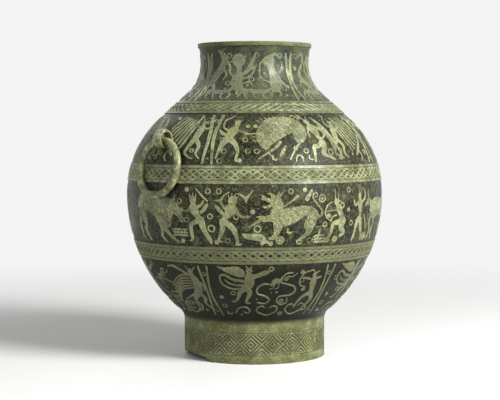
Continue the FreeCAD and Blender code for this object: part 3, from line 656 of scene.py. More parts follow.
# The belly row: hunters with spear, sword and bow, a hound, and the beasts that they hunt.
spearman = [
    *shape((-8.6, 46), (-8.2, 50), (-5.4, 51.6), (-2.4, 50.2), (-1.6, 47), (-3.4, 44), (-7, 43.6)),
    *stroke((-8, 49, 0.8), (-9, 52.6, 0.5)), *stroke((-5.4, 50, 0.9), (-5.2, 54.8, 0.4)),
    *stroke((-2.8, 49.6, 0.8), (-1.6, 54, 0.4)),
    *stroke((-4.6, 44.6, 2), (-4.6, 39, 5.4), (-1.6, 33.4, 3.6), (0.6, 29.6, 2.2), (2, 26.4, 3.4)),
    *stroke((-8.4, 38, 1.6), (-13.5, 36, 1.2), (-18.8, 36.6, 0.9)),
    *stroke((-19, 34.4, 0.7), (-19.4, 39, 0.6)),
    *stroke((-32.4, 36.6, 0.7), (-25, 31.4, 1), (-18, 25.6, 0.6)),
    *stroke((-0.4, 40, 1.7), (4, 42.6, 1.4), (6.6, 46.4, 1.2)),
    *stroke((11, 46.4, 0.9), (5, 51.6, 1), (-2, 58.8, 0.5)),
    *stroke((3.6, 34.6, 1.4), (7.6, 38.6, 2.1), (10.4, 43, 1.6)),
    *stroke((0.4, 26.4, 3), (-5.4, 24, 2.5), (-8.6, 20.4, 2.3), (-8.2, 12, 1.9), (-8, 7, 1.3),
        (-10.8, 5, 0.9)),
    *stroke((3.4, 27.4, 3.6), (4.8, 20, 3.2), (8.4, 12.4, 2.3), (11.8, 6, 1.9), (12.4, 3.8, 1.8)),
]
swordsman = [
    *shape((3.4, 46), (5, 50.4), (9, 52), (12.6, 50.4), (12.8, 45.6), (10, 43.2), (6, 43.4)),
    *stroke((4.6, 49, 0.7), (4, 53, 0.4)), *stroke((7.4, 50, 0.7), (7.4, 54.4, 0.4)),
    *stroke((10.4, 50, 0.7), (11, 54, 0.4)), *stroke((12, 49, 0.6), (14, 52, 0.4)),
    *stroke((8.4, 44.6, 2), (6.6, 39.4, 6.4), (3.4, 33.6, 4), (-0.6, 29.2, 2.3), (-2.6, 26, 3.2)),
    *stroke((1.4, 39, 1.8), (-2.4, 42.6, 1.5), (-4, 48, 1.4), (-0.6, 52.4, 1), (4.6, 55.6, 0.7)),
    *stroke((-10.4, 47.4, 0.6), (-5.6, 47.2, 1.1), (-2, 49.4, 0.8)),
    *stroke((-0.8, 33, 1.3), (-5.4, 37.6, 2), (-9, 41.6, 1.4)),
    *stroke((11.4, 38.4, 2), (14.4, 33.4, 1.5), (17, 30.8, 1.2), (22.4, 31, 1)), *disc(22.8, 31, 1.7),
    *stroke((-2.6, 26.4, 3.3), (-2.8, 18.6, 2.7), (-5.8, 10.4, 1.9), (-7.2, 6, 1.2), (-3.6, 4.8, 0.8)),
    *stroke((0, 26, 2.8), (6.4, 20.6, 3), (9.8, 15.6, 2.6), (11.4, 8.6, 1.8), (12.4, 3.4, 1.2),
        (14.4, 1.6, 0.8)),
]
hound = [
    *shape((-12.8, 13.4), (-4, 13.8), (4.4, 13.6), (9.4, 11.6), (12.6, 7), (16.4, 4.4), (15.2, 2.4),
        (11.6, 3.4), (9.4, 2.6), (8, 1.4), (6, 2), (5.2, 5.4), (-2, 6.8), (-9, 8.6)),
    *stroke((6.6, 4, 1.1), (7.4, 1.6, 0.8)),
]
leaping_beast = [
    *stroke((-30, 52.2, 0.9), (-26, 48.8, 1.7), (-20, 46.8, 2.6)),
    *stroke((-28.8, 40.8, 0.9), (-24, 41.2, 1.6), (-18.6, 43.6, 2.4)), *ring(-28.4, 50, 1.9, 0.7),
    *disc(-16.8, 47, 5), *stroke((-21.6, 55, 0.5), (-19.6, 50, 1.5)),
    *stroke((-12.6, 56, 0.6), (-14.4, 50, 2.2)),
    *stroke((-15.4, 47.6, 5), (-13.2, 41.4, 5.4), (-14.6, 34.6, 7.6), (-9, 30, 9.2), (2, 32.6, 8),
        (12.6, 36.4, 5.8), (20.4, 36.4, 4.8), (26, 32.4, 4.8)),
    *stroke((-13, 24, 6), (-14, 16.6, 3.6), (-16.8, 10, 2.6), (-21.4, 8.6, 1.6)),
    *stroke((-19.6, 29.6, 4), (-29.4, 29, 2.2), (-36, 24.6, 1.5), (-42.4, 20.4, 1.1)),
    *stroke((-35, 31, 0.8), (-30, 31, 1.6)),
    *stroke((24.6, 31.6, 5.4), (20, 22.6, 6.2), (19.4, 14.8, 3.2), (13.4, 9.6, 2.1), (9.8, 6.6, 1.7)),
    *ring(9.6, 4.8, 2.4, 0.9),
    *stroke((27, 31, 2), (32.6, 31, 1.5), (34, 36.4, 1.4), (29.6, 41.6, 1.2), (24, 48.2, 1.1),
        (23.6, 53.4, 1), (27, 54.6, 0.9), (28.4, 51.6, 0.9), (26, 50.4, 0.7)),
    *stroke((-7.6, 41.4, 0.6), (0, 46.6, 1), (6.8, 51.8, 1.7)), *stroke((16.6, 49, 2.8), (22, 57.4, 1.4)),
]
archer = [
    *shape((-6, 44.6), (-4.6, 48), (-1.2, 48), (1, 45), (-0.6, 41.6), (-4, 41.4)),
    *stroke((-4, 46, 0.8), (-4.4, 57.4, 0.4)), *stroke((-0.8, 46.4, 0.8), (0.4, 52.4, 0.4)),
    *stroke((1, 46, 1), (4, 45, 0.6)),
    *stroke((-1.4, 42, 2.4), (1.6, 36.6, 3.6), (4.8, 30.6, 2.8), (7.4, 25.6, 4)),
    *stroke((-8, 44.8, 0.5), (-13.4, 42, 0.9), (-16.4, 35.4, 0.9), (-14.6, 29.2, 0.9), (-8.4, 25.2, 0.6)),
    *stroke((-17, 35, 0.5), (-8, 36, 0.6), (0, 37, 1)),
    *stroke((-9, 25, 1), (-6.6, 29.4, 0.8), (-2, 31.4, 0.9)), *ring(5.4, 41, 2.6, 0.9),
    *stroke((6.4, 26, 3.4), (0, 23.4, 2.8), (-5.6, 22, 2.3), (-6.8, 14, 1.7), (-9.8, 6.8, 1.2),
        (-13.2, 6, 0.8)),
    *stroke((8, 25, 3.8), (5.4, 18.4, 3.4), (9.6, 13, 2.8), (6, 9, 2)), *disc(-1, 6, 3.4),
]
rhinoceros = [
    *shape((-30, 42), (-22, 52), (-8, 55.4), (8, 54.6), (20, 51), (29, 45), (31, 37), (27, 28), (20, 20),
        (14, 15), (8, 21), (-1, 30), (-11, 35), (-14, 28), (-19, 22), (-26, 27)),
    *stroke((-19, 30, 4.4), (-15.4, 21, 2.8), (-17, 12.6, 2), (-11.6, 4.6, 1.5), (-8.4, 3, 1.1)),
    *stroke((-26, 33, 3.6), (-27.6, 20, 2.4), (-25.4, 8, 1.6), (-21.6, 3.4, 1.1)),
    *stroke((20, 24, 6), (17.4, 16, 3.4), (23.6, 8.8, 2.1), (29.6, 4, 1.7), (33, 2.8, 1.1)),
    *stroke((10, 26, 5), (12, 16, 3), (10, 9, 1.9), (14.4, 3.6, 1.3)),
    *stroke((28, 44, 4.6), (34.4, 38.6, 3.6), (38.6, 32, 2.4)), *stroke((38, 34, 1), (42.6, 39, 0.5)),
    *stroke((31, 47, 1.4), (32.6, 52, 0.6)), *stroke((-29, 40, 1.3), (-34, 33, 1), (-33.4, 25, 0.7)),
]
walker = [
    *disc(-1, 50, 3), *stroke((-1, 52, 0.8), (-2.4, 58, 0.4)), *stroke((0.4, 52, 0.8), (2.4, 57, 0.4)),
    *stroke((-0.6, 47, 2), (0, 42, 4.2), (0.6, 35, 3), (0.4, 29.6, 2.1), (0, 26, 3.2)),
    *stroke((-3, 43, 1.4), (-8.6, 40, 1.1), (-11, 45.4, 1.1)),
    *stroke((3.4, 43, 1.4), (8.4, 46.6, 1.2), (9.4, 53.4, 0.9), (6, 57.6, 0.6)),
    *stroke((-1.6, 26, 2.8), (-5, 18, 2.2), (-5, 9.6, 1.7), (-7.6, 3.4, 1.1)),
    *stroke((1.6, 26, 2.8), (4, 17, 2.4), (7.6, 9, 1.7), (8, 3.4, 1.2), (10.4, 2.4, 0.8)),
    *stroke((8, 30, 0.6), (12.6, 22, 1), (16, 12, 0.6)),
]
bull = [
    *shape((-26, 40), (-18, 46), (-6, 47), (8, 44.6), (18, 46), (26, 43), (28, 35), (24, 27), (12, 25.4),
        (-2, 27), (-14, 24.4), (-22, 26), (-27, 32)),
    *stroke((-23, 31, 3.6), (-25, 20, 2.2), (-22, 10.6, 1.6), (-24, 3.4, 1.2)),
    *stroke((-17, 29, 3.4), (-14.4, 19, 2.2), (-17, 10, 1.6), (-13.6, 3.4, 1.2)),
    *stroke((17, 30, 3.4), (19.4, 19, 2.2), (16.6, 10, 1.6), (19.6, 3.4, 1.2)),
    *stroke((23.4, 31, 3.4), (27, 20, 2.2), (24.6, 10, 1.6), (28.4, 3.4, 1.2)),
    *stroke((-24, 40, 3.8), (-31, 43.6, 3.2), (-36.6, 39.6, 2)),
    *stroke((-30, 46, 0.9), (-33, 52.4, 0.7), (-29, 56.4, 0.4)),
    *stroke((26, 41, 1.2), (31.6, 38, 0.9), (33, 29, 0.8), (31, 22, 1.2)),
]

# The shoulder row: a boar between hunters, birds with spread wings, and a long beast.
boar = [
    *shape((-24.4, 22.8), (-26, 34), (-20.4, 45), (-12, 53.4), (0, 57.8), (12, 57), (22, 50.4), (28, 40),
        (27.4, 30), (21, 22.8), (15, 24.4), (12.6, 31), (12, 35.6), (6.4, 32.6), (-2, 27.2), (-10, 22),
        (-14.6, 16.6), (-17.6, 15), (-21, 18)),
    *several(range(10), lambda k: stroke((-20 + 4 * k, 47 + 8.6 * math.sin(k * 0.3 + 0.3), 1),
        (-23.4 + 4.6 * k, 51.4 + 8.6 * math.sin(k * 0.3 + 0.3), 0.3))),
    *stroke((-2, 24, 2), (-8, 17.4, 1.5), (-15.6, 12, 1.3), (-22, 8.4, 1), (-26, 5.4, 0.6)),
    *stroke((-15, 12, 1.2), (-11.4, 7.6, 1), (-8.4, 3.6, 0.7)),
    *stroke((19, 23.6, 1.6), (13.6, 16.6, 1.1), (9.6, 10, 1), (6.6, 4.6, 0.7)),
    *stroke((3, 19.4, 1.2), (0.6, 15, 2), (-2.4, 10.4, 1.5), (-3.6, 8, 0.8)),
    *stroke((13, 3, 0.8), (14, 8, 1), (17.6, 9.4, 1), (20.4, 6, 1), (20.6, 2.6, 0.8)),
    *stroke((-25.6, 30, 0.9), (-30.6, 32, 0.7)), *stroke((-24, 25, 0.9), (-29.4, 25.6, 0.6)),
]
clubman = [
    *disc(0, 46.6, 3),
    *several(range(5), lambda k: stroke((0, 47, 1), (-4 + 2 * k, 53.6 - abs(k - 2) * 0.9, 0.4))),
    *stroke((-0.4, 44, 2), (-3.6, 38, 5), (-6.6, 31.6, 4), (-9, 27, 3.6)),
    *stroke((-7.6, 38, 1.5), (-13, 41.6, 1.2), (-14, 47.4, 0.9), (-12, 53, 0.8), (-4, 58.6, 0.5)),
    *stroke((0, 39, 1.7), (6.4, 36.4, 1.2), (11.4, 34.4, 1)),
    *stroke((9, 33.6, 1), (20, 34.6, 0.8), (26, 33, 1.3)),
    *stroke((-9, 28, 3.8), (-13.4, 22, 3), (-17, 14, 1.6), (-19.6, 6, 1)),
    *stroke((-6.6, 28, 3.6), (-0.6, 22.6, 2.8), (3, 13, 1.7), (1.4, 4.4, 1.2), (4.4, 3, 0.8)),
    *stroke((-8, 32, 1), (-14, 34.6, 2.2), (-17.4, 38.6, 1.2)),
]
kneeler = [
    *disc(-9.2, 50.2, 2.9),
    *stroke((-10, 52, 1), (-14.4, 57.4, 0.8), (-17.4, 53, 0.7), (-16.2, 49.6, 0.5)),
    *stroke((-8, 52, 0.9), (-6.4, 57.6, 0.4)), *ring(-8.4, 49.4, 2.4, 0.7),
    *stroke((-8, 47, 2), (-6, 42, 5.2), (-4, 35, 4), (-1.6, 29, 2.8), (0, 24.6, 3.4)),
    *stroke((-10, 43, 1.5), (-12.6, 36, 1.1), (-12.6, 29.4, 0.9)),
    *stroke((-0.8, 42, 2), (4.6, 38.6, 1.7), (6, 32, 1.3), (1.6, 28.6, 1)),
    *stroke((-1.2, 56.6, 0.6), (6, 46, 2.2), (11.4, 34, 2.8), (17, 22, 1.7), (21.6, 9.6, 0.9)),
    *stroke((2, 46, 0.6), (9, 34, 1.8), (12.6, 20, 1.4), (13.6, 8, 0.8)),
    *stroke((-1, 23, 3.4), (-6.6, 19.6, 2.8), (-11.8, 18.4, 2.4), (-13, 10, 1.7), (-14.2, 3, 1.2)),
    *stroke((1.6, 23, 3.4), (-0.6, 15, 3), (-2.4, 10.6, 2.6), (4, 8, 1.8), (11, 4.4, 1.2)),
    *ring(7, 12.6, 3, 1), *ring(19.4, 7, 2.4, 0.8),
]
spread_wing = [
    *several(range(6), lambda k: stroke((-17 + 4.6 * k, 30 - 3.4 * k, 0.9),
        (-9 + 4.3 * k, 41 - 2.6 * k, 1.5), (2 + 3.2 * k, 56 - 1.3 * k, 0.7))),
    *stroke((-20, 32, 1), (-14, 24, 2), (-6, 15, 2), (0, 9, 1.2)),
    *stroke((-6, 14, 1.4), (-10, 8, 1), (-7, 3, 0.8)), *disc(-14, 55, 2.2),
    *stroke((-15, 40, 0.8), (-9, 50, 1.1), (-2, 57, 0.6)), *disc(8, 10, 1.8), *ring(-18, 12, 2.4, 0.8),
]
spear_thrower = [
    *disc(1.6, 48.6, 2.8), *stroke((1, 50, 0.8), (-1, 55.6, 0.4)),
    *stroke((1.4, 46, 2), (0.4, 38.6, 4.2), (-1.4, 31, 3.6), (-2, 27, 3.2)),
    *stroke((2.6, 42.6, 1.4), (8.6, 40.6, 1), (11.6, 47, 0.9), (6.6, 56, 0.9)),
    *stroke((-1.6, 42, 1.3), (-6.6, 47.6, 1), (-3, 58.6, 0.8)), *ring(6.6, 49.4, 1.8, 0.6),
    *stroke((-3, 27, 3), (-7, 19.6, 2.2), (-10.6, 12, 1.4), (-5, 7.4, 1), (0, 5.6, 0.7)),
    *stroke((-0.6, 27, 2.8), (4.6, 20, 2), (3, 11.6, 1.3), (7.4, 6, 0.8)), *ring(-2.4, 14.4, 2, 0.7),
]
long_beast = [
    *stroke((-26, 50, 1.2), (-19, 53, 3), (-11, 47, 4.4), (-2, 40, 6), (9, 38, 6), (17, 40, 4.6)),
    *stroke((-22, 56, 0.9), (-17, 63, 0.5)),
    *stroke((-8, 41, 3.4), (-13, 30, 2), (-9, 19, 1.5), (-15, 9, 1.1)),
    *stroke((-1, 38, 3.4), (-3, 27, 2), (2, 17, 1.5), (-2, 7, 1.1)),
    *stroke((15, 38, 4), (18, 27, 2.3), (12, 18, 1.6), (17, 8, 1.1)),
    *stroke((18, 41, 1.6), (25, 48, 1.2), (22, 57, 1), (15, 60, 0.7)), *ring(3, 56, 3, 0.9),
    *ring(24, 22, 3, 0.9),
]

# The lower row: a feathered beast, birdmen, knots of snakes and small archers.
feathered_beast = [
    *disc(6.4, 62, 3.4), *stroke((9, 63.6, 1), (12.6, 66.6, 0.5)), *stroke((4, 64, 0.9), (1, 68.6, 0.5)),
    *stroke((6, 59, 2.4), (8.4, 52, 4.2), (9, 44, 4.8), (6.4, 36, 4.4), (1, 29.6, 3.4)),
    *several(range(6), lambda k: stroke((7 - 0.6 * k, 56 - 3 * k, 0.9), (-6 - 1.6 * k, 57 - 4 * k, 1.2),
        (-19 - k, 50 - 5 * k, 1.1), (-28 + 0.6 * k, 41 - 5 * k, 0.7))),
    *stroke((-24, 66, 0.8), (-16, 67, 1.6), (-7, 63, 1.8), (2, 58, 1.4)),
    *stroke((11, 50, 1.8), (16, 45, 1.3), (15, 38, 1)),
    *stroke((7, 34, 3), (11, 27, 2.2), (8, 20, 1.6), (12, 12, 1.1), (16, 10, 0.7)),
    *stroke((1, 30, 2.8), (-3, 23, 2), (1, 16, 1.5), (-2, 8, 1.1), (-6, 6, 0.8)),
    *ring(-12, 18, 2.8, 0.9),
    *stroke((-2, 31, 1.6), (-9, 27, 1.2), (-16, 23, 1), (-20, 15, 1.1), (-15, 9, 1.1), (-10, 11, 0.8)),
    *disc(4, 8, 1.8),
]
birdman = [
    *disc(1.6, 64.6, 3.4), *stroke((1, 66, 1), (-1.4, 70.4, 0.5)), *stroke((2.4, 66, 1), (5, 70.4, 0.5)),
    *stroke((1.4, 62, 2.2), (1.6, 56, 4.8), (2, 49, 4.6), (-1.6, 43.6, 4.6)),
    *shape((-31.6, 69.4), (-23, 68.4), (-12, 69.6), (-5, 66), (-2, 59), (-7, 56.6), (-14, 58.6),
        (-21, 61.8), (-27, 65.6)),
    *stroke((-1, 51, 2.4), (-9, 52.6, 1.6), (-17, 54.6, 1.5), (-24, 59.4, 1.4), (-28.6, 58, 1.2),
        (-28.4, 51, 1.1), (-24, 45.4, 1.2), (-16.4, 42, 1.3), (-7, 41.6, 1.6)),
    *stroke((-4, 46.4, 1.6), (-12, 46.6, 1.1), (-19, 48.8, 1.1), (-23.6, 53, 0.7)),
    *shape((3, 60.4), (9, 61), (17, 64.6), (24.6, 65.4), (20.6, 60.6), (13, 57.4), (7, 54.4), (4, 54)),
    *stroke((-3, 43, 3.6), (-9, 36, 2.6), (-10.4, 29.6, 1.8), (-14, 24, 1.2), (-17.4, 24.4, 0.7)),
    *stroke((-0.6, 43, 3.4), (1.6, 36, 2.6), (-1, 29, 1.8), (-2.6, 22.6, 1.2), (1.4, 21.4, 0.8)),
    *stroke((-14, 5.6, 0.8), (-11, 13.4, 1), (-4, 15.4, 1.1), (0.6, 10.6, 1), (-2, 5.6, 0.9),
        (-5.6, 7.6, 0.7)),
    *disc(-8, 3, 1.4), *ring(-15.6, 36, 2.4, 0.8), *disc(-13, 51, 1),
]
snakes = [
    *ring(-7.6, 66.6, 2.3, 0.8),
    *stroke((-5.4, 46.6, 1.4), (-2, 51.6, 3.2), (3, 52, 2.4), (5.6, 57, 1.04), (10, 61, 0.96),
        (16, 61.6, 0.64)),
    *stroke((11, 57.4, 0.64), (16, 57, 0.72), (21, 61, 0.48)), *ring(9.4, 54.4, 1.8, 0.7),
    *stroke((-2, 49, 0.8), (-3.4, 43, 0.64), (-7, 41.6, 0.48)),
    *stroke((1.6, 50, 0.8), (2.2, 43.6, 0.64), (-1.4, 41.6, 0.48)),
    *stroke((-7.4, 47.6, 0.8), (-14.6, 48, 1.04), (-19.6, 42, 1.04), (-18, 35, 1.04), (-10.4, 31.8, 1.04),
        (-5.4, 26.4, 1.04), (-9.4, 21, 0.96), (-17, 22.6, 0.72)),
    *stroke((4.6, 49.6, 0.8), (12.4, 47, 1.04), (19.2, 44, 1.04), (20.8, 38, 1.04), (15.4, 32.6, 1.04),
        (4.8, 31, 0.96), (2.6, 25, 0.96), (7.4, 19, 0.96), (13.4, 22, 0.88), (13, 28.4, 0.64)),
    *ring(7.4, 24.4, 2, 0.8), *disc(1, 37, 1.4), *disc(-4.4, 36.4, 0.8),
    *stroke((-8.6, 14.4, 0.64), (-12, 17, 0.88), (-16, 13.6, 0.96), (-15.4, 8, 0.96), (-10, 4, 0.96),
        (-5, 1.6, 0.88), (0, 4.4, 0.96), (4.6, 9, 0.96), (4, 15, 0.96), (0, 17, 0.88), (-3, 14, 0.64)),
    *stroke((23.6, 14.6, 0.64), (21, 18.4, 0.88), (16.4, 17.6, 0.96), (13.6, 12, 0.96), (16, 6, 0.96),
        (20.4, 2.4, 0.96), (26.8, 5.4, 0.96), (33, 11, 0.96), (34.4, 17, 0.96), (30.4, 19.4, 0.88),
        (27.6, 16, 0.64)),
    *ring(9.2, 4, 2.1, 0.8), *disc(-18.4, 27.4, 0.88),
]
small_archer = [
    *disc(0, 58, 2.8), *stroke((0.6, 60, 0.8), (-4, 64.6, 0.6)), *stroke((1, 60, 0.8), (5, 62.6, 0.5)),
    *stroke((0, 55.6, 2), (0.8, 48, 4), (2, 41, 3), (2.4, 34, 3.4)),
    *stroke((-1, 52, 1.4), (-9, 54, 1.1), (-13, 56, 0.8)), *stroke((2.6, 53, 1.4), (8.4, 55, 1)),
    *stroke((-4, 64, 0.6), (-13, 60.6, 0.9), (-16, 52, 0.9), (-13, 45, 0.9), (-7, 43.4, 0.6)),
    *stroke((-17, 54, 0.5), (-6, 55, 0.5)),
    *stroke((1, 34, 3), (-5, 30, 2.2), (-8.4, 23, 1.7), (-10, 14, 1.1)),
    *stroke((3.6, 33, 3), (6, 25, 2.3), (3.4, 17, 1.6), (6, 10, 1), (2.6, 8, 0.8)),
]

# The neck row: birds with round or crested heads, and slim beasts.
round_headed_bird = [
    *disc(-1.6, 51, 7.4, 16), *stroke((-8, 51, 1.4), (-12, 48, 0.6)), *disc(5.6, 55, 1.2),
    *disc(-9.4, 56.6, 1),
    *stroke((-1.4, 45, 3), (-0.6, 39.6, 3), (-1.6, 33, 5.6), (-2.6, 26, 6.4), (1, 20, 5), (4, 16.6, 3.4)),
    *stroke((2, 35, 1.8), (7.4, 39, 2.4), (11, 45, 2.6), (14, 52, 2), (17, 59, 1)),
    *stroke((4, 31, 1.4), (10, 33, 1.5), (14, 38, 1.2), (17, 46, 0.7)),
    *stroke((-6, 33, 1.4), (-11, 38, 1.4), (-12, 46, 1.1), (-15, 54, 0.6)),
    *stroke((5, 25, 1.2), (11, 27, 1.2), (15, 23, 0.9)), *disc(10, 22.6, 1.6),
    *stroke((-5, 20, 2), (-9, 14, 1.3), (-6, 8.6, 0.9), (-9, 5.6, 0.7)),
    *stroke((2, 17, 2.2), (0, 11, 1.4), (4, 6.6, 1)), *ring(-12, 25, 2.6, 0.9),
    *stroke((7, 17.4, 1.6), (12, 14.6, 1.2), (15.6, 17.6, 0.8)), *disc(-14.4, 18, 1.4), *disc(8, 11, 1.3),
]
crested_bird = [
    *disc(-2.4, 50, 6.6, 16), *stroke((-8, 51, 1.8), (-12, 47, 0.8)),
    *stroke((-1, 55, 2), (5, 58, 1.6), (9, 54, 1.1), (12, 57, 0.6)),
    *stroke((-1, 46, 4), (1, 39, 4.2), (3.4, 31, 6.4), (3, 23, 7.2), (1, 16.6, 4.4)),
    *stroke((9, 38, 1.2), (12.6, 44, 1.2), (11.4, 50, 0.7)),
    *stroke((-12, 46, 0.9), (-12.6, 38, 1), (-11.6, 31.4, 1), (-5, 27, 1.6)),
    *stroke((9, 29, 2), (14, 22, 1.6), (12.6, 15, 1)), *disc(-7.6, 37, 1.8),
    *stroke((-1, 16, 2), (-4, 10, 1.2), (-8, 8, 0.8)), *stroke((4, 16, 2), (6, 9.6, 1.2), (3, 6, 0.8)),
    *disc(-8.6, 15, 2.4), *disc(12, 8, 2), *ring(-9.4, 22.6, 2, 0.8), *disc(8, 44.6, 1.2),
    *disc(-14.6, 24, 1.2),
]
low_beast = [
    *stroke((-20, 5, 0.8), (-15, 12, 1.6), (-8, 15, 2.8), (2, 13, 3.4), (11, 14, 2.8), (17, 18, 1.6),
        (21, 15, 0.8)),
    *stroke((-9, 13, 1.8), (-12, 7, 1.2), (-9, 2.4, 0.8)),
    *stroke((-3, 12, 1.6), (-2, 6, 1.1), (1, 2.4, 0.8)),
    *stroke((9, 13, 1.8), (7, 7, 1.1), (11, 2.4, 0.8)), *stroke((13, 15, 1.4), (17, 8, 1), (16, 3, 0.7)),
]
rampant_beast = [
    *stroke((2, 56, 1), (-3, 52, 2.8), (-5, 45, 3.4), (-2, 37, 4), (4, 29, 4.6), (8, 20, 4)),
    *stroke((-2, 55, 0.9), (-8, 58, 0.6)), *stroke((-6, 43, 1.5), (-12, 40, 1.1), (-13, 33, 0.8)),
    *stroke((-3, 37, 1.5), (-9, 31, 1.1), (-7, 24, 0.8)),
    *stroke((6, 20, 3), (1, 13, 1.7), (4, 6, 1.1), (-1, 3, 0.8)),
    *stroke((9, 20, 2.4), (12, 11, 1.5), (10, 4, 1)),
    *stroke((9, 26, 1.1), (14, 34, 1), (12, 43, 0.9), (15, 50, 0.6)),
]
curled_beast = [
    *stroke((-4, 52, 1.2), (1, 56, 2.2), (5, 50, 2.4), (2, 43, 2.2), (-3, 37, 2.6), (-3, 29, 3.2),
        (3, 23, 3.6), (9, 17, 2.6), (14, 11, 1.4), (17, 5, 0.8)),
    *stroke((5, 48, 1), (10, 44, 0.8), (9, 37, 0.6)),
    *stroke((-4, 27, 1.4), (-9, 20, 1.1), (-6, 13, 0.8), (-10, 7, 0.6)),
    *stroke((4, 20, 1.4), (0, 12, 1), (4, 5, 0.7)), *ring(9, 29, 2.2, 0.8),
]

# Small things between the figures.
stack = [
    *several((4, 7.4, 10.8), lambda y: stroke((-5, y, 1.1), (5, y, 1.1))),
    *stroke((-1.4, 13, 1.6), (-1, 18, 1.2)), *stroke((-6, 20, 0.6), (6, 20.4, 0.6)),
    *ring(8.6, 5.6, 2.6, 0.8),
]
ladder = [
    *several((10.6, 13.6, 16.6), lambda y: stroke((-8.6, y, 1), (8.6, y, 1))),
    *several((-6, -2, 2, 6), lambda x: stroke((x, 10.4, 0.6), (x, 17, 0.6))),
]
flying_bird = [
    *disc(0, 0, 2.2), *stroke((0, 0, 1.8), (-5, 4, 1), (-10, 5.6, 0.4)),
    *stroke((0, 0, 1.8), (4, 5, 1), (7, 9, 0.4)), *stroke((0, 0, 1.6), (0, -3, 0.8)),
]
small_ring = ring(0, 0, 2.5, 0.62)
large_ring = ring(0, 0, 3.4, 0.8)
ball = disc(0, 0, 2.5)
rosette = [
    *ring(0, 0, 3.8, 0.7), *disc(0, 0, 1.5),
    *several(range(6), lambda k: stroke((0, 0, 0.5),
        (3.8 * math.cos(k * 1.047), 3.8 * math.sin(k * 1.047), 0.5))),
]
comma = stroke((-3, 2, 0.8), (-3, -1.4, 1.2), (0, -2.4, 0.9), (2, -1, 0.5))


def waist_divider(height, half_top, half_waist, half_bottom, thick=1.0):
    """Two slim bars that lean together half way up, with a spot or two between their ends."""
    places = (half_top, height - 0.5, 1.5), (half_waist, height * 0.52, 1.9), (half_bottom, 0.5, 1.3)
    bars = several((-1, 1), lambda side: stroke(*[(side * x, y, thick * half) for x, y, half in places]))
    return [*bars, *ring(0, height * 0.86, min(2, half_top - 2.2), 0.6), *disc(0, height * 0.1, 1.3)]


neck_divider = waist_divider(59, 3.6, 1.7, 4.8)
shoulder_divider = waist_divider(60, 5.2, 2.6, 5.2)
lower_divider = waist_divider(69, 5.0, 1.9, 4.8, 0.7)

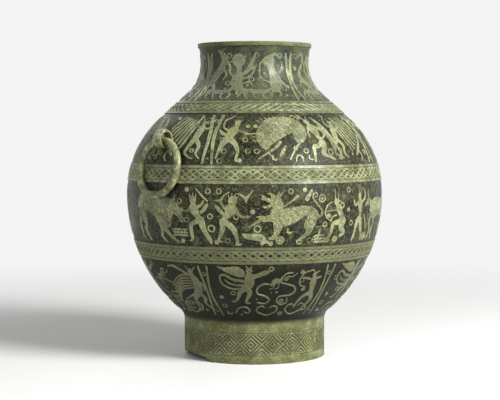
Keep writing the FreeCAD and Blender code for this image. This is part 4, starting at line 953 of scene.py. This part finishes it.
# Each register: the height of its lower edge, and its drawings. Each of these stands at some angles,
# in degrees to the right of the vessel's front, and at one height over the edge, in millimetres.
FRONT = math.radians(225.75)
REGISTERS = {
    "neck_figures": (0.2775, [
        (neck_divider, (37, 127, 217, 307), 0), (round_headed_bird, (-15, 75, 165, 255), 0),
        (crested_bird, (17, 107, 197, 287), 0), (low_beast, (-33, 1, 57, 91, 147, 181, 237, 271), 0),
        (rampant_beast, (-65, 115), 0), (mirrored(rampant_beast), (-38, 142), 6),
        (curled_beast, (55, 235), 3), (small_ring, (-3, 6, 87, 93, 177, 186), 30),
        (small_ring, (-27, 2, 27, 47, 92, 137, 152, 182, 207, 227), 56),
        (ball, (-2, 29, 46, 88, 136, 178, 209, 226), 43), (ball, (24, 31, 114, 204, 211, 294), 21),
    ]),
    "shoulder_figures": (0.2125, [
        (shoulder_divider, (-21.3, 68, 158.7, 248), 0), (clubman, (-9, 171), 0), (boar, (13, 193), 0),
        (kneeler, (34, 214), 0), (mirrored(spread_wing), (55, 235), 0), (spread_wing, (-41, 139), 0),
        (spear_thrower, (-29, 44.6, 151, 224.6), 0), (long_beast, (84, 264), -6), (clubman, (102, 282), 0),
        (kneeler, (120, 300), 0), (small_ring, (-14, -3, 1, 24, 126, 166, 177, 181, 204), 14),
        (small_ring, (22, 25.6, 108, 202, 205.6), 57), (ball, (-3.4, 0.4, 176.6), 44), (ball, (19, 199), 17),
        (small_ring, (-15.6, 164.4), 3.4), (small_ring, (-15.6, -4.4, 164.4, 175.6), 27),
        (ball, (-6.6, 173.4), 4), (comma, (9.4, 26.4, 189.4, 206.4), 7),
    ]),
    "belly_figures": (0.1295, [
        (rhinoceros, (-49, 131), 0), (ladder, (-34, 146), 0), (spearman, (-24.5, 155.5), 0),
        (swordsman, (-12.5, 167.5), 0), (hound, (0, 180), 0), (leaping_beast, (15.5, 195.5), 0),
        (stack, (29.5, 209.5), 0), (archer, (38, 218), 0), (walker, (52, 232), 0), (bull, (72, 252), 0),
        (spearman, (99, 279), 0), (flying_bird, (-3.5, 9.5, 176.5, 189.5), 49),
        (small_ring, (-19.8, -15, 15.2, 44, 106, 160.2, 165, 195.2), 56.5),
        (small_ring, (-19, -7.8, 160, 172.2), 31), (large_ring, (-18.6, 1.2, 161.4, 182), 18.6),
        (small_ring, (-11.6, 24.5, 38, 90, 168.4), 6), (ball, (-0.8, 8, 44, 179.2, 188), 36),
        (rosette, (11, 27.5, 58, 191), 6.6), (rosette, (29.5, 209.5), 49), (ball, (7, 187), 3),
        (comma, (15.5, 195.5), 16.5), (small_ring, (-32.6, -30, 60, 147.4, 240), 27),
        (ball, (-33, -16.6, 147, 163.4), 4.4), (small_ring, (46.4, 31.4, 211.4, 226.4), 22),
        (ball, (25.4, 33, 205.4, 213), 31), (comma, (-6.4, 173.6), 4), (small_ring, (-33.4, 146.6), 46),
        (ball, (-29.6, 21.4, 150.4, 201.4), 58), (comma, (4.6, 184.6), 29),
    ]),
    "lower_figures": (0.0525, [
        (lower_divider, (-25.6, 40, 114, 188, 262), 0), (birdman, (-3.4, 62, 136, 210, 286), 0),
        (snakes, (11.5, 77.5, 151.5, 225.5, 301), 0), (small_archer, (31.4, 98, 172, 246), 0),
        (feathered_beast, (-36,), 0), (small_ring, (108, 182, 256), 10), (ball, (24, 90, 164, 238), 62),
        (small_ring, (24.6, 47, 90, 121, 164, 195, 238), 52), (ball, (-19, 46.4, 120, 194, 268), 30),
        (comma, (-16, 49.6, 123.4, 197.4, 271.4), 6), (small_ring, (-18.6, 47, 121, 195, 269), 17),
        (ball, (27, 93, 167, 241), 40), (small_ring, (-54, -33.4, 306), 60),
    ]),
}
BEASTS = [boar, leaping_beast, rhinoceros, bull, long_beast, feathered_beast, birdman, round_headed_bird]
BEASTS += [crested_bird, rampant_beast, curled_beast, low_beast]
BEAST_LINES = 1.0
OTHER_LINES = 0.4
for register, (bottom, drawings) in REGISTERS.items():
    bm = bmesh.new()
    for drawing, turns, up in drawings:
        is_beast = any(drawing is beast for beast in BEASTS)
        mesh = flat_mesh(drawing, FIGURE_RELIEF, BEAST_LINES if is_beast else OTHER_LINES)
        for turn in sorted({turn % 360 for turn in turns}):
            set_down(bm, mesh, FRONT + math.radians(turn), length_at(bottom) + up * MM)
        bpy.data.meshes.remove(mesh)
    on_vessel(register, bm, figure_bronze)

# The lattice on the foot: crossing ridges cast in the sunk panel make a row of wide lozenges, each
# with smaller ones inside it, and half lozenges fill the corners above and below.
LOZENGE_REPEATS = 21
LOZENGE_NESTS = (1, 0.62, 0.26)
LATTICE_RELIEF = 0.0007
RIDGE_HALF = 0.7
EDGE_HALF = 0.5
panel_middle = (LOWER_STRIP + PANEL_TOP) / 2
panel_half = (PANEL_TOP - LOWER_STRIP) / 2 / MM - 1
lozenge_half = math.pi * FOOT_RADIUS / LOZENGE_REPEATS / MM
foot_bronze = new_finish("foot_bronze")
cloud = noise(foot_bronze, 60, 8, 0.7)
colour = patched(foot_bronze, tinted(foot_bronze, RUBBED_DARK, RUBBED, cloud, 0.42, 0.66), [
    (RUBBED_WARM, 45, 6, 0.55, 0.50, 0.64, 0.6),
    (RUBBED_PALE, 260, 6, 0.7, 0.52, 0.72, 1.0),
])
coat(foot_bronze, {"Base Color": colour, "Roughness": 0.5, "Normal": pitting(foot_bronze, 0.0006)})
lattice = []
for end in (1, -1):
    edge_up = end * panel_half
    lattice += stroke((-lozenge_half, edge_up, EDGE_HALF), (lozenge_half, edge_up, EDGE_HALF))
for nest in LOZENGE_NESTS:
    across, up = nest * lozenge_half, nest * panel_half
    for side in (-1, 1):
        for end in (-1, 1):
            lattice += stroke((side * across, 0, RIDGE_HALF), (0, end * up, RIDGE_HALF))
            if nest < 1:
                low = side * lozenge_half, end * (panel_half - up)
                lattice += stroke((low[0] - side * across, end * panel_half, RIDGE_HALF), (*low, RIDGE_HALF))
mesh = flat_mesh(lattice, LATTICE_RELIEF)
bm = bmesh.new()
for repeat in range(LOZENGE_REPEATS):
    turn = 2 * math.pi * repeat / LOZENGE_REPEATS
    before = len(bm.verts)
    bm.from_mesh(mesh)
    bm.verts.ensure_lookup_table()
    for vert in bm.verts[before:]:
        x, y, z = vert.co
        angle = turn + x / FOOT_RADIUS
        across = FOOT_RADIUS - PANEL_DEPTH + z
        vert.co = (across * math.cos(angle), across * math.sin(angle), panel_middle + y)
bpy.data.meshes.remove(mesh)
on_vessel("foot_lattice", bm, foot_bronze)

# The lugs: two plain eyes of oval bar, cast in one with the vessel and sunk a little into its
# shoulder, one at each side. They hold the rings, and hands and rings have rubbed them paler.
LUG_HEIGHT = BELLY_HEIGHT + 0.0598
LUG_HOLE = 0.0057
LUG_THICKNESS = 0.0047
LUG_WIDTH = 0.0126
LUG_ROOT = 0.0016
LUG_STEPS = 56
OVAL_STEPS = 24
FINEST = 0.00001
HANDLED_RED = srgb(104, 78, 48)
ring_bronze = new_finish("ring_bronze")
worn = spread(ring_bronze, noise(ring_bronze, 80, 8, 0.68), 0.40, 0.60)
colour = patched(ring_bronze, blended(ring_bronze, worn, RUBBED_DARK, RUBBED), [
    (RUBBED_PALE, 130, 8, 0.7, 0.46, 0.62, 1.0),
    (HANDLED_RED, 60, 8, 0.7, 0.54, 0.70, 0.4),
    (RUBBED_DARK, 190, 8, 0.7, 0.50, 0.68, 0.8),
    (GROUND, 420, 8, 0.7, 0.56, 0.72, 0.6),
])
coat(ring_bronze, {
    "Base Color": colour,
    "Metallic": 0.15,
    "Roughness": spread(ring_bronze, worn, 0, 1, 0.52, 0.38),
    "Normal": pitting(ring_bronze, 0.0005),
})
lug_reach = LUG_HOLE + LUG_THICKNESS - LUG_ROOT
lug_across = max(
    across for across in np.arange(radius_at(LUG_HEIGHT), BELLY_RADIUS + lug_reach, FINEST)
    if min(math.dist((across, LUG_HEIGHT), at) for at in fine_curve[::2]) <= lug_reach
)
for name, side in (("left_lug", -1), ("right_lug", 1)):
    bm = bmesh.new()
    oval = bmesh.ops.create_circle(bm, segments=OVAL_STEPS, radius=1)["verts"]
    bmesh.ops.scale(bm, vec=(LUG_THICKNESS / 2, LUG_WIDTH / 2, 1), verts=oval)
    bmesh.ops.translate(bm, vec=(LUG_HOLE + LUG_THICKNESS / 2, 0, 0), verts=oval)
    bmesh.ops.spin(bm, geom=[*bm.verts, *bm.edges], axis=(0, 1, 0), angle=2 * math.pi, steps=LUG_STEPS,
                   use_merge=True)
    bmesh.ops.translate(bm, vec=(side * lug_across, 0, LUG_HEIGHT), verts=bm.verts)
    bmesh.ops.recalc_face_normals(bm, faces=bm.faces)
    on_vessel(name, bm, ring_bronze)

# The loose rings: two plain rings of round bar, cast separately and closed through the lugs, which
# hang against the shoulder. They have the lugs' bronze, paler where hands have rubbed it.
for ring_name in ("left_ring", "right_ring"):
    ring_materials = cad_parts[ring_name].data.materials
    ring_materials.clear()
    ring_materials.append(ring_bronze)

# The floor: a plain pale sheet under the vessel, which fades out round it. It isn't part of the
# object and takes only the shadow.
FLOOR_REACH = 3.0
FLOOR_COLOUR = (0.80, 0.80, 0.79, 1)
FLOOR_FADE = (0.30, 1.10)
bm = bmesh.new()
bmesh.ops.create_circle(bm, cap_ends=True, segments=64, radius=FLOOR_REACH)
floor_finish = new_finish("floor_finish")
from_axis = {0: object_place(floor_finish)}
distance = add_node(floor_finish, "ShaderNodeVectorMath", from_axis, operation="LENGTH").outputs["Value"]
coat(floor_finish, {
    "Base Color": FLOOR_COLOUR,
    "Roughness": 0.9,
    "Alpha": spread(floor_finish, distance, *FLOOR_FADE, 1, 0),
})
floor = finished("floor", bm, floor_finish, smooth=False)

# The view: from the vessel's front and a little above its middle, at about one and a half metres,
# with the vessel's axis slightly to the right of the picture's middle.
CAMERA_DISTANCE = 1.5434
EYE_HEIGHT = 0.2532
AIM_HEIGHT = 0.1694
AIM_ASIDE = 0.00495
LENS = 101.16
SENSOR = 36.0
NEAREST = 0.05
bearing = Vector((math.cos(FRONT), math.sin(FRONT), 0))
sideways = Vector((-bearing.y, bearing.x, 0))
camera_data = bpy.data.cameras.new("camera")
camera_data.lens = LENS
camera_data.sensor_width = SENSOR
camera_data.clip_start = NEAREST
camera = bpy.data.objects.new("camera", camera_data)
bpy.context.scene.collection.objects.link(camera)
camera.location = bearing * CAMERA_DISTANCE + Vector((0, 0, EYE_HEIGHT))
aim = Vector((0, 0, AIM_HEIGHT)) - sideways * AIM_ASIDE
camera.rotation_euler = (aim - camera.location).to_track_quat("-Z", "Y").to_euler()
bpy.context.scene.camera = camera


# The lamps: a soft key from the upper right, a weaker one from the left and one from behind, all
# square and wide, so that the low relief shows without hard shadows.
def add_lamp(name, turn, height, distance, size, watts):
    """A soft square lamp, turned (degrees) to the camera's right, that looks at the vessel."""
    data = bpy.data.lights.new(name, "AREA")
    data.size = size
    data.energy = watts
    lamp = bpy.data.objects.new(name, data)
    bpy.context.scene.collection.objects.link(lamp)
    angle = FRONT + math.radians(turn)
    lamp.location = (distance * math.cos(angle), distance * math.sin(angle), height)
    look = Vector((0, 0, BELLY_HEIGHT)) - lamp.location
    lamp.rotation_euler = look.to_track_quat("-Z", "Y").to_euler()


add_lamp("key_lamp", turn=52, height=1.02, distance=1.6, size=0.7, watts=61)
add_lamp("side_lamp", turn=-34, height=1.0, distance=2.0, size=1.2, watts=13)
add_lamp("back_lamp", turn=190, height=1.6, distance=2.0, size=1.4, watts=14)

# The room: an even white light, weak on the vessel. The camera, and reflections in the bronze,
# see a pale backdrop in its place.
ROOM_LIGHT = 0.15
BACKDROP = (0.9, 0.9, 0.9, 1)
world = bpy.data.worlds.new("studio")
bpy.context.scene.world = world
world.use_nodes = True
light = world.node_tree.nodes["Background"]
input_of(light, "Color", (1, 1, 1, 1))
input_of(light, "Strength", ROOM_LIGHT)
shown = add_node(world, "ShaderNodeBackground", {"Color": BACKDROP})
rays = add_node(world, "ShaderNodeLightPath").outputs
seen = rays["Is Camera Ray"]
for ray in ("Is Glossy Ray", "Is Transmission Ray"):
    seen = combined(world, "MAXIMUM", seen, rays[ray])
choice = add_node(world, "ShaderNodeMixShader", {0: seen, 1: light.outputs[0], 2: shown.outputs[0]})
input_of(world.node_tree.nodes["World Output"], "Surface", choice.outputs[0])
bpy.context.scene.view_settings.view_transform = "Standard"
